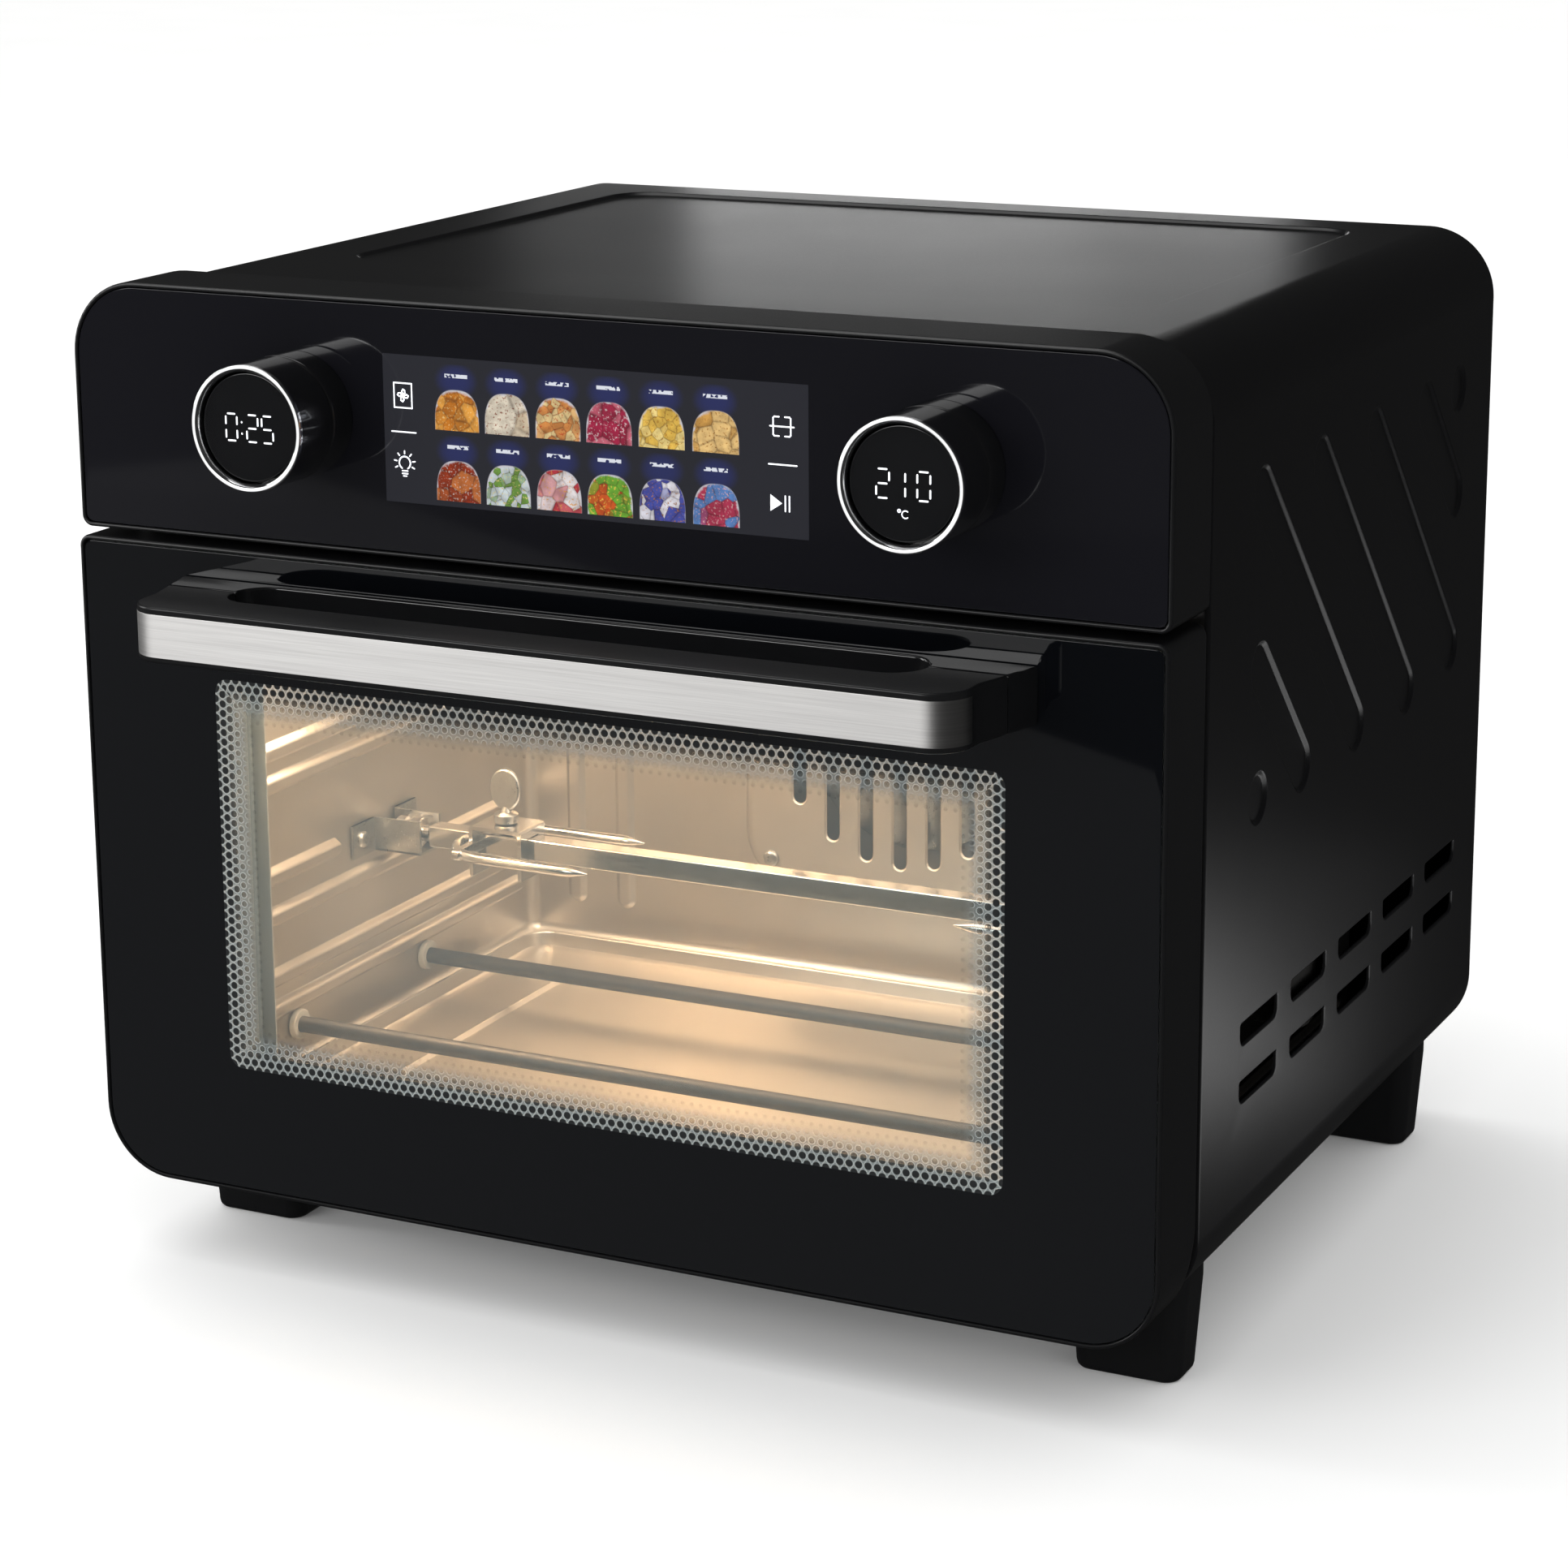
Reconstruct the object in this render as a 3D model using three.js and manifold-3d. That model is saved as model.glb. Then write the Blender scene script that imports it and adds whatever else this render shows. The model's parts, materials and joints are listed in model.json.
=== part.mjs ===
// Countertop oven with a rotisserie spit: a sheet-metal cabinet round a steel cavity, a glass control
// panel with two display knobs, and a glazed drop-down door with an oblong ring handle.
// Millimetres. +X is the oven's right as seen from the front, +Y runs to the back, +Z is up.
import * as THREE from 'three';
import * as BufferGeometryUtils from 'three/addons/utils/BufferGeometryUtils.js';
import Module from 'manifold-3d';

const wasm = await Module();
wasm.setup();

// ---- Driving dimensions --------------------------------------------------------------------------
const GAP = 0.3;              // clearance between neighbouring pieces
const HALF = 196;             // half the width over the side walls
const CORNER = 25;            // outer corner radius of the cabinet and of the whole front

// y = 0 is the front edge of the control panel's frame while the oven is drawn
const PANEL = { front: 0, back: 30, bottom: 259, top: 343 };
const DOOR = { front: -2, back: 29.5, bottom: 29, top: 256.5, rail: 47 };
const CABINET = { front: 31.8, back: 330, bottom: 31.5, top: 340.3, sheet: 1.2 };
const CAVITY = { half: 172, front: 34, back: 255, floor: 46, ceiling: 250, sheet: 1 };
const FRAME = { front: 32.1, back: 33.6 };
const BACK_PANEL = { front: 327, back: 328.2 };
const WINDOW = { half: 150, bottom: 62, top: 222 };

const GLASS = 3;              // thickness of the two front glasses
const LIP = 1.5;              // rim of plastic round each front glass
const SKIRT = 2.5;            // wall of the door frame and of the panel housing

const HINGE = { y: 16, z: 40, x: 150, pin: 3, heel: 13.6 };
const HANDLE = { half: 147, front: -47, seam: -16.1, back: -1.9, bottom: 227.5, top: 246, bend: 12 };
const SCREW = { x: 138, z: 236.7, r: 2 };
const GRIP = { half: 124, front: -28, back: -5 };
const STRIP = { bottom: 229.3, top: 243.7, end: -35, thick: 0.8 };

const KNOB = { z: 303.7, r: 20.65, length: 30.9, split: -11, face: -28.4 };
const KNOB_X = { left: -107.6, right: 121.6 };

const SPIT = { y: 145, z: 118, side: 8, left: -168, right: 166 };
const FORK = { x: 118, spread: 22, wire: 2, tip: 72, bow: 136 };
const ROD = { r: 3, end: 180, y: [82, 172], low: 60, high: 236 };
const FAN = { z: 150, r: 48, front: 243, back: 251 };
const FOOT = { x: 167, wide: 42, deep: 25, y: [55, 294] };
const GLAND = { x: -150, z: 62, out: 6 };

const DEPTH_SHIFT = -(HANDLE.front + CABINET.back + GLAND.out) / 2;

// ---- Shapes and solids ---------------------------------------------------------------------------
// A rounded rectangle from (u0, v0) to (u1, v1), with one radius for the lower corners and one above.
function outline(u0, v0, u1, v1, lower, upper = lower) {
  const s = new THREE.Shape();
  s.moveTo(u0 + lower, v0);
  s.lineTo(u1 - lower, v0);
  if (lower > 0) s.absarc(u1 - lower, v0 + lower, lower, -Math.PI / 2, 0, false);
  s.lineTo(u1, v1 - upper);
  if (upper > 0) s.absarc(u1 - upper, v1 - upper, upper, 0, Math.PI / 2, false);
  s.lineTo(u0 + upper, v1);
  if (upper > 0) s.absarc(u0 + upper, v1 - upper, upper, Math.PI / 2, Math.PI, false);
  s.lineTo(u0, v0 + lower);
  if (lower > 0) s.absarc(u0 + lower, v0 + lower, lower, Math.PI, Math.PI * 1.5, false);
  return s;
}

function polygon(points) {
  return new THREE.Shape(points.map(([u, v]) => new THREE.Vector2(u, v)));
}

// A drawn outline pushed along one axis. The outline lies in the two other axes, taken in x, y, z order.
function prism(axis, shape, from, to, curveSegments = 6) {
  const g = new THREE.ExtrudeGeometry(shape, { depth: to - from, bevelEnabled: false, curveSegments });
  if (axis === 'y') return g.rotateX(Math.PI / 2).translate(0, to, 0);
  if (axis === 'x') return g.rotateX(Math.PI / 2).rotateZ(Math.PI / 2).translate(from, 0, 0);
  return g.translate(0, 0, from);
}

function box(x0, x1, y0, y1, z0, z1) {
  const g = new THREE.BoxGeometry(x1 - x0, y1 - y0, z1 - z0);
  return g.translate((x0 + x1) / 2, (y0 + y1) / 2, (z0 + z1) / 2);
}

// A cylinder along an axis; a and b are its centre in the two other axes, in x, y, z order.
function rod(axis, a, b, from, to, r, sides = 16) {
  const g = new THREE.CylinderGeometry(r, r, to - from, sides);
  const mid = (from + to) / 2;
  if (axis === 'x') return g.rotateZ(Math.PI / 2).translate(mid, a, b);
  if (axis === 'y') return g.translate(a, mid, b);
  return g.rotateX(Math.PI / 2).translate(a, b, mid);
}

// A turned piece about a line along Y through (x, z); the profile is a list of [radius, y].
function turned(profile, x, z, sides = 24) {
  const ordered = profile.map(([r, y]) => new THREE.Vector2(r, y));
  return new THREE.LatheGeometry(ordered, sides).translate(x, 0, z);
}

function toSolid(geometry) {
  const g = geometry.index ? geometry.clone() : geometry;
  g.deleteAttribute('normal');
  g.deleteAttribute('uv');
  const m = BufferGeometryUtils.mergeVertices(g, 1e-4);
  return new wasm.Manifold(new wasm.Mesh({
    numProp: 3, vertProperties: m.attributes.position.array, triVerts: new Uint32Array(m.index.array),
  }));
}

function toGeometry(solid) {
  const m = solid.getMesh();
  const g = new THREE.BufferGeometry();
  g.setAttribute('position', new THREE.BufferAttribute(new Float32Array(m.vertProperties), 3));
  g.setIndex(new THREE.BufferAttribute(new Uint32Array(m.triVerts), 1));
  return g;
}

function combine(operation, first, others) {
  let solid = toSolid(first);
  for (const other of others) solid = solid[operation](toSolid(other));
  return toGeometry(solid);
}
const cut = (first, ...others) => combine('subtract', first, others.flat());
const join = (first, ...others) => combine('add', first, others.flat());

// ---- Finishes and the assembly -------------------------------------------------------------------
const finish = (color, roughness, metalness) => ({ color, roughness, metalness });
const FINISHES = {
  coated: finish(0x15161a, 0.45, 0.3),
  plastic: finish(0x101114, 0.4, 0),
  gloss: finish(0x08090b, 0.15, 0),
  glass: finish(0x1c1d22, 0.05, 0),
  clear: finish(0xb8c0c4, 0.03, 0),
  steel: finish(0xc4c4c2, 0.3, 1),
  galvanised: finish(0xb9b4ab, 0.4, 1),
  chrome: finish(0xe6e6e6, 0.08, 1),
  element: finish(0x55534f, 0.6, 0.6),
  rubber: finish(0x0c0c0d, 0.8, 0),
  board: finish(0x1d4a2c, 0.6, 0),
};

const oven = new THREE.Group();
oven.position.y = DEPTH_SHIFT;

function add(name, geometry, finishName) {
  const material = new THREE.MeshStandardMaterial(FINISHES[finishName]);
  const mesh = new THREE.Mesh(geometry, material);
  mesh.name = name;
  oven.add(mesh);
}

const SIDES = { left: -1, right: 1 };
const span = (side, a, b) => (side > 0 ? [a, b] : [-b, -a]);

// ---- Cabinet -------------------------------------------------------------------------------------
// Pressed diagonal grooves and two round dimples, drawn in the side wall's (y, z) plane.
const GROOVE = { r: 8, deep: 1.2, pitch: 56.5, top: 296, low: 181, first: 72, back: 296 };

function stadium(y0, z0, y1, z1, r) {
  const a = Math.atan2(z1 - z0, y1 - y0);
  const s = new THREE.Shape();
  s.absarc(y1, z1, r, a - Math.PI / 2, a + Math.PI / 2, false);
  s.absarc(y0, z0, r, a + Math.PI / 2, a + Math.PI * 1.5, false);
  s.closePath();
  return s;
}

// Each groove falls at 45 degrees to the back and stays inside one rectangle of the wall.
function sideGrooves(grow) {
  const shapes = [];
  for (let k = -1; k <= 3; k += 1) {
    const start = GROOVE.first + k * GROOVE.pitch;
    const y0 = Math.max(start, GROOVE.first) + GROOVE.r;
    const z0 = GROOVE.top - Math.max(0, GROOVE.first - start) - GROOVE.r;
    const fall = Math.min(z0 - GROOVE.low - GROOVE.r, GROOVE.back - GROOVE.r - y0);
    shapes.push(stadium(y0, z0, y0 + fall, z0 - fall, GROOVE.r + grow));
  }
  const corners = [
    [GROOVE.first + GROOVE.r, GROOVE.low + GROOVE.r],
    [GROOVE.back - GROOVE.r, GROOVE.top - GROOVE.r],
  ];
  for (const [y, z] of corners) {
    const dimple = new THREE.Shape();
    shapes.push(dimple.absarc(y, z, GROOVE.r + grow, 0, Math.PI * 2));
  }
  return shapes;
}

// Two rows of five vent slots with square upper and rounded lower corners.
const VENT = { first: 68.5, pitch: 49.4, long: 35, high: 7, tops: [116.5, 96.8], columns: 5 };

function ventShapes() {
  const shapes = [];
  for (const top of VENT.tops) {
    for (let k = 0; k < VENT.columns; k += 1) {
      const y = VENT.first + k * VENT.pitch;
      shapes.push(outline(y, top - VENT.high, y + VENT.long, top, 3.4, 0));
    }
  }
  return shapes;
}

const TOP_PRESSING = { half: 150, front: 97, back: 308, r: 14, deep: 1.2 };

function cabinetShell() {
  const { front, back, bottom, top, sheet } = CABINET;
  const outer = outline(-HALF, bottom, HALF, top, CORNER);
  outer.holes.push(outline(-HALF + sheet, bottom + sheet, HALF - sheet, top - sheet, CORNER - sheet));
  const t = TOP_PRESSING;
  const pads = [prism('z', outline(-t.half - 1, t.front - 1, t.half + 1, t.back + 1, t.r + 1),
    top - 2 * sheet, top - sheet + 0.1, 4)];
  const cuts = [
    box(-164, 164, front - 1, back + 1, bottom - 1, bottom + sheet + 1),
    prism('z', outline(-t.half, t.front, t.half, t.back, t.r), top - t.deep, top + 1, 4),
  ];
  for (const side of Object.values(SIDES)) {
    const padding = span(side, HALF - 2 * sheet, HALF - sheet + 0.1);
    const pocket = span(side, HALF - GROOVE.deep, HALF + 1);
    const through = span(side, HALF - 3 * sheet, HALF + 1);
    pads.push(...sideGrooves(1).map((s) => prism('x', s, ...padding, 3)));
    cuts.push(...sideGrooves(0).map((s) => prism('x', s, ...pocket, 3)));
    cuts.push(...ventShapes().map((s) => prism('x', s, ...through, 2)));
  }
  return cut(join(prism('y', outer, front, back, 6), pads), cuts);
}

function basePan() {
  const { front, bottom, sheet } = CABINET;
  const plate = box(-163.7, 163.7, front + GAP, BACK_PANEL.front - GAP, bottom, bottom + sheet);
  const slots = [];
  for (let k = -3; k <= 3; k += 1) {
    slots.push(prism('z', outline(k * 34 - 3, 90, k * 34 + 3, 150, 2.9), bottom - 1, bottom + 3, 2));
  }
  return cut(plate, slots);
}

function backPanel() {
  const inside = CABINET.sheet + GAP;
  const plate = outline(-HALF + inside, CABINET.bottom + inside, HALF - inside, CABINET.top - inside,
    CORNER - inside);
  const holes = [rod('y', GLAND.x, GLAND.z, BACK_PANEL.front - 1, BACK_PANEL.back + 1, 8.3)];
  for (const z of [110, 126, 142, 158, 174]) {
    for (const x of [-48, 48]) {
      holes.push(prism('y', outline(x - 36, z, x + 36, z + 5, 2.4), BACK_PANEL.front - 1,
        BACK_PANEL.back + 1, 2));
    }
  }
  return cut(prism('y', plate, BACK_PANEL.front, BACK_PANEL.back, 6), holes);
}

// The foot narrows downwards, and its top is shaped to the cabinet's rounded lower edge.
function foot(x, y) {
  const shape = outline(-FOOT.wide / 2, -FOOT.deep / 2, FOOT.wide / 2, FOOT.deep / 2, 7);
  const height = 40;
  const g = prism('z', shape, 0, height, 4);
  const p = g.attributes.position;
  for (let i = 0; i < p.count; i += 1) {
    const scale = 0.86 + 0.14 * (p.getZ(i) / height);
    p.setXY(i, p.getX(i) * scale + x, p.getY(i) * scale + y);
  }
  const above = outline(-HALF - GAP, CABINET.bottom - GAP, HALF + GAP, CABINET.top, CORNER + GAP);
  return cut(g, prism('y', above, y - 40, y + 40, 6));
}

function gland() {
  const y0 = BACK_PANEL.front - 8;
  const y1 = CABINET.back + GLAND.out;
  const profile = [[4, y1], [7, y1], [11, y1 - 3], [11, BACK_PANEL.back + GAP],
    [8, BACK_PANEL.back + GAP], [8, y0], [4, y0], [4, y1]];
  return turned(profile.reverse(), GLAND.x, GLAND.z, 20);
}

add('cabinet_shell', cabinetShell(), 'coated');
add('base_pan', basePan(), 'galvanised');
add('back_panel', backPanel(), 'coated');
for (const [label, side] of Object.entries(SIDES)) {
  add(`foot_front_${label}`, foot(side * FOOT.x, FOOT.y[0]), 'rubber');
  add(`foot_rear_${label}`, foot(side * FOOT.x, FOOT.y[1]), 'rubber');
}
add('cord_gland', gland(), 'rubber');

// ---- Cavity --------------------------------------------------------------------------------------
const SOCKET = { r: 9, from: 156, to: 176 };
const LAMP = { y: 96, z: 212, r: 20 };

// Sheet-metal face that closes the cabinet round the cavity and carries the hinges and the panel.
function frontFrame() {
  const inside = CABINET.sheet + GAP;
  const face = outline(-HALF + inside, CABINET.bottom + inside, HALF - inside, CABINET.top - inside,
    CORNER - inside);
  face.holes.push(outline(-CAVITY.half, CAVITY.floor, CAVITY.half, CAVITY.ceiling, 4));
  face.holes.push(outline(-140, 272, 140, 328, 4));
  return prism('y', face, FRAME.front, FRAME.back, 4);
}

// Rack guides pressed into both side walls: pairs of long ribs; one is short, beside the spit bracket.
const GUIDES = [[205, 40, 246], [193, 40, 246], [165, 40, 246], [153, 40, 246],
  [119, 40, 114], [104, 40, 246], [81, 40, 246], [69, 40, 246]];

function guideRibs() {
  const ribs = [];
  for (const side of Object.values(SIDES)) {
    for (const [z, y0, y1] of GUIDES) {
      const high = 4;
      const section = polygon([[-high, 0], [high, 0], [high / 2, 3], [-high / 2, 3]]);
      const g = prism('y', section, y0, y1);
      g.rotateY(side > 0 ? -Math.PI / 2 : Math.PI / 2);
      ribs.push(g.translate(side * (CAVITY.half + 0.2), 0, z));
    }
  }
  return ribs;
}

function cavityLiner() {
  const { half, front, back, floor, ceiling, sheet } = CAVITY;
  const shell = cut(
    box(-half - sheet, half + sheet, front, back + sheet, floor - sheet, ceiling + sheet),
    box(-half, half, front - 1, back, floor, ceiling));
  const ribs = [];
  for (const x of [-150, -128, 128, 150]) ribs.push(box(x - 4, x + 4, back - 2, back + 0.2, 62, 236));
  const holes = [
    rod('x', SPIT.y, SPIT.z, half - 2, half + 3, SOCKET.r + 1, 20),
    rod('x', LAMP.y, LAMP.z, -half - 3, -half + 3.5, LAMP.r, 24),
    rod('y', 0, FAN.z, back - 2, back + 3, 6, 12),
  ];
  for (const y of ROD.y) {
    for (const z of [ROD.low, ROD.high]) {
      for (const side of Object.values(SIDES)) {
        holes.push(rod('x', y, z, ...span(side, half - 4, half + 3), ROD.r + GAP, 12));
      }
    }
  }
  return cut(join(shell, guideRibs(), ribs), holes);
}

function crumbTray() {
  const [x, y0, y1] = [160, 42, 236];
  const z = CAVITY.floor + GAP;
  const outer = prism('z', outline(-x, y0, x, y1, 10), z, z + 7.5, 4);
  const inner = prism('z', outline(-x + 1.2, y0 + 1.2, x - 1.2, y1 - 1.2, 9), z + 1.2, z + 9, 4);
  const bead = outline(-x + 30, y0 + 28, x - 30, y1 - 28, 16);
  bead.holes.push(outline(-x + 34, y0 + 32, x - 34, y1 - 32, 12));
  return join(cut(outer, inner), prism('z', bead, z + 1, z + 2.4, 4));
}

function lampHolder() {
  const x1 = -CAVITY.half - CAVITY.sheet - GAP;
  const dish = rod('x', LAMP.y, LAMP.z, x1 - 18, x1, LAMP.r + 4, 24);
  return cut(dish, rod('x', LAMP.y, LAMP.z, x1 - 15, x1 + 1, LAMP.r + 1, 24));
}

function fanCover() {
  const [half, front, back] = [66, 236, CAVITY.back - GAP];
  const dish = cut(
    prism('y', outline(-half, FAN.z - half, half, FAN.z + half, 22), front, back, 4),
    prism('y', outline(-half + 1.2, FAN.z - half + 1.2, half - 1.2, FAN.z + half - 1.2, 20.8),
      front + 1.2, back + 1, 4));
  const slots = [];
  for (let k = -3; k <= 3; k += 1) {
    const x = k * 14;
    const reach = Math.sqrt(52 * 52 - x * x);
    slots.push(prism('y', outline(x - 3, FAN.z - reach, x + 3, FAN.z + reach, 2.9), front - 1,
      front + 2, 2));
  }
  return cut(dish, slots);
}

function fanRotor() {
  const pieces = [];
  const disc = rod('y', 0, FAN.z, FAN.back - 1.2, FAN.back, FAN.r, 24);
  for (let k = 0; k < 8; k += 1) {
    const blade = box(14, FAN.r - 1, FAN.front, FAN.back - 1, -0.6, 0.6);
    pieces.push(blade.rotateY((k * Math.PI) / 4).translate(0, 0, FAN.z));
  }
  pieces.push(rod('y', 0, FAN.z, FAN.front + 2, FAN.back + 11, 3, 12));
  return join(disc, pieces);
}

function fanMotor() {
  const y0 = CAVITY.back + 8;
  return cut(rod('y', 0, FAN.z, y0, y0 + 36, 26, 20), rod('y', 0, FAN.z, y0 - 1, y0 + 8, 4, 12));
}

add('front_frame', frontFrame(), 'galvanised');
add('cavity_liner', cavityLiner(), 'galvanised');
add('crumb_tray', crumbTray(), 'steel');
for (const [level, z] of [['lower', ROD.low], ['upper', ROD.high]]) {
  ['front', 'rear'].forEach((place, i) => {
    add(`heater_${level}_${place}`, rod('x', ROD.y[i], z, -ROD.end, ROD.end, ROD.r, 12), 'element');
  });
}
add('lamp_holder', lampHolder(), 'steel');
add('lamp_lens', rod('x', LAMP.y, LAMP.z, -CAVITY.half - 8, -CAVITY.half + 1, LAMP.r - GAP, 24), 'clear');
add('fan_cover', fanCover(), 'galvanised');
add('fan_rotor', fanRotor(), 'steel');
add('fan_motor', fanMotor(), 'steel');

// ---- Rotisserie ----------------------------------------------------------------------------------
// A hat section on the left wall. The spit's round end drops into its channel from above.
function spitBracket() {
  const wall = -CAVITY.half + GAP;
  const [inner, plate, reach] = [6.4, 1, 21];
  const low = SPIT.z - 5.5 - GAP;
  const channel = cut(
    box(wall, wall + reach, SPIT.y - inner - plate, SPIT.y + inner + plate, low - plate, SPIT.z + 6),
    box(wall - 1, wall + reach + 1, SPIT.y - inner, SPIT.y + inner, low, SPIT.z + 7));
  const flanges = [-1, 1].map((s) => {
    const [a, b] = span(s, inner + plate - 0.1, inner + 16);
    return box(wall, wall + plate, SPIT.y + a, SPIT.y + b, low - plate, SPIT.z + 6);
  });
  return join(channel, flanges);
}

function spit() {
  const h = SPIT.side / 2;
  const bar = box(-150, SPIT.right, SPIT.y - h, SPIT.y + h, SPIT.z - h, SPIT.z + h);
  const journal = rod('x', SPIT.y, SPIT.z, SPIT.left, -149, 3, 16);
  const bush = rod('x', SPIT.y, SPIT.z, SPIT.left + 3, SPIT.left + 14, 5.5, 20);
  return join(bar, journal, bush);
}

function driveSocket() {
  const h = SPIT.side / 2 + GAP;
  return cut(rod('x', SPIT.y, SPIT.z, SOCKET.from, SOCKET.to, SOCKET.r, 24),
    box(SOCKET.from - 1, SPIT.right + 1, SPIT.y - h, SPIT.y + h, SPIT.z - h, SPIT.z + h));
}

// Wire prongs bent in one bow behind the clamp, pointing to the middle of the oven.
function forkWire(side) {
  const path = new THREE.CurvePath();
  const near = SPIT.y - FORK.spread;
  const far = SPIT.y + FORK.spread;
  const [tip, turn] = [-side * FORK.tip, -side * (FORK.bow - FORK.spread)];
  const at = (x, y) => new THREE.Vector3(x, y, SPIT.z);
  path.add(new THREE.LineCurve3(at(tip, near), at(turn, near)));
  path.add(new THREE.CubicBezierCurve3(at(turn, near), at(turn - side * 29, near),
    at(turn - side * 29, far), at(turn, far)));
  path.add(new THREE.LineCurve3(at(turn, far), at(tip, far)));
  const section = new THREE.Shape().absarc(0, 0, FORK.wire, 0, Math.PI * 2);
  return new THREE.ExtrudeGeometry(section, { steps: 16, extrudePath: path, curveSegments: 4 });
}

function fork(side) {
  const h = SPIT.side / 2 + GAP;
  const x = -side * FORK.x;
  const bent = cut(
    box(x - 11, x + 11, SPIT.y - 9, SPIT.y + 9, SPIT.z - 11, SPIT.z + 8),
    box(x - 9.5, x + 9.5, SPIT.y - 10, SPIT.y + 10, SPIT.z - 12, SPIT.z + 6.5));
  const bar = box(...span(-side, FORK.x + 8, FORK.x + 11), SPIT.y - FORK.spread, SPIT.y + FORK.spread,
    SPIT.z - 2, SPIT.z + 2);
  return cut(join(bent, bar, forkWire(side)),
    box(x - 20, x + 20, SPIT.y - h, SPIT.y + h, SPIT.z - h, SPIT.z + h),
    rod('z', x, SPIT.y, SPIT.z + 5, SPIT.z + 9, 2.5 + GAP, 12));
}

function forkScrew(side) {
  const x = -side * FORK.x;
  const shank = rod('z', x, SPIT.y, SPIT.z + SPIT.side / 2 + GAP, SPIT.z + 15, 2.5, 12);
  const wing = rod('y', x, SPIT.z + 21, SPIT.y - 1.2, SPIT.y + 1.2, 8, 20);
  return join(shank, rod('z', x, SPIT.y, SPIT.z + 8.3, SPIT.z + 12, 4.5, 12), wing);
}

add('spit_bracket', spitBracket(), 'steel');
add('spit', spit(), 'chrome');
add('drive_socket', driveSocket(), 'steel');
add('spit_motor', rod('x', SPIT.y, SPIT.z, SOCKET.to + 1, 193, 25, 24), 'steel');
for (const [label, side] of [['left', 1], ['right', -1]]) {
  add(`fork_${label}`, fork(side), 'chrome');
  add(`fork_screw_${label}`, forkScrew(side), 'chrome');
}

// ---- Control panel -------------------------------------------------------------------------------
function controlHousing() {
  const { front, back, bottom, top } = PANEL;
  const body = prism('y', outline(-HALF, bottom, HALF, top, 4, CORNER), front, back);
  const inset = (d, r) => outline(-HALF + d, bottom + d, HALF - d, top - d, r, CORNER - d);
  const bosses = [];
  for (const x of [-170, 170]) {
    for (const z of [272, 322]) bosses.push(rod('y', x, z, 7, FRAME.front - GAP, 5, 12));
  }
  const hollow = cut(body,
    prism('y', inset(LIP, 3), front - 1, front + 0.4 + GLASS + GAP),
    prism('y', inset(SKIRT, 2), front + 8, back + 1),
    prism('y', outline(-145, 268, 145, 334, 4), front, front + 9));
  return join(hollow, bosses);
}

function controlGlass() {
  const d = LIP + GAP;
  const plate = prism('y', outline(-HALF + d, PANEL.bottom + d, HALF - d, PANEL.top - d, 3, CORNER - d),
    PANEL.front + 0.4, PANEL.front + 0.4 + GLASS);
  const holes = Object.values(KNOB_X).map((x) => rod('y', x, KNOB.z, -1, 5, 8, 20));
  return cut(plate, holes);
}

function displayModule() {
  const y = PANEL.front + 0.4 + GLASS + GAP;
  return prism('y', outline(-76, 277, 76, 326, 2), y, y + 7, 2);
}

// The readout disc and its stem stand still; the sleeve and the bright ring turn round them.
function knobCore(x) {
  return turned([[0, KNOB.face], [17.7, KNOB.face], [17.7, -22], [6.5, -22], [6.5, 5], [0, 5]], x, KNOB.z);
}

function knobSleeve(x) {
  const { r, split } = KNOB;
  const y1 = split - 0.4;
  return turned([[18.3, -28.9], [r, -28.9], [r, y1], [6.9, y1], [6.9, y1 - 2], [18.3, y1 - 2],
    [18.3, -28.9]], x, KNOB.z);
}

function knobRing(x) {
  const { r, length } = KNOB;
  return turned([[18.3, -29.2], [18.8, -length + 0.6], [19.3, -length], [r - 0.3, -length],
    [r, -length + 0.4], [r, -29.2], [18.3, -29.2]], x, KNOB.z);
}

function knobBase(x) {
  const { r, split } = KNOB;
  return turned([[6.9, split], [r - 0.4, split], [r, split + 0.4], [r, 0.1], [6.9, 0.1],
    [6.9, split]], x, KNOB.z);
}

add('control_housing', controlHousing(), 'plastic');
add('control_glass', controlGlass(), 'glass');
add('display_module', displayModule(), 'gloss');
add('control_board', box(-150, 150, 12.2, 13.8, 272, 332), 'board');
for (const [label, x] of Object.entries(KNOB_X)) {
  add(`knob_base_${label}`, knobBase(x), 'gloss');
  add(`knob_core_${label}`, knobCore(x), 'gloss');
  add(`knob_sleeve_${label}`, knobSleeve(x), 'gloss');
  add(`knob_ring_${label}`, knobRing(x), 'chrome');
  add(`encoder_${label}`, box(x - 7, x + 7, 5.3, 11.9, KNOB.z - 7, KNOB.z + 7), 'steel');
}

// ---- Door ----------------------------------------------------------------------------------------
// Everything of the bottom rail behind the hinge line stays within the heel radius, to clear the frame.
function heelWaste() {
  const { y, z, heel } = HINGE;
  const low = Math.asin((z - DOOR.bottom) / heel);
  const high = Math.acos((DOOR.back - y) / heel);
  const s = new THREE.Shape();
  s.absarc(y, z, heel, -low, -high, false);
  s.lineTo(DOOR.back + 2, z - heel * Math.sin(high));
  s.lineTo(DOOR.back + 2, DOOR.bottom - 2);
  s.lineTo(y + heel * Math.cos(low), DOOR.bottom - 2);
  s.closePath();
  return prism('x', s, -HALF - 1, HALF + 1, 6);
}

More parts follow.
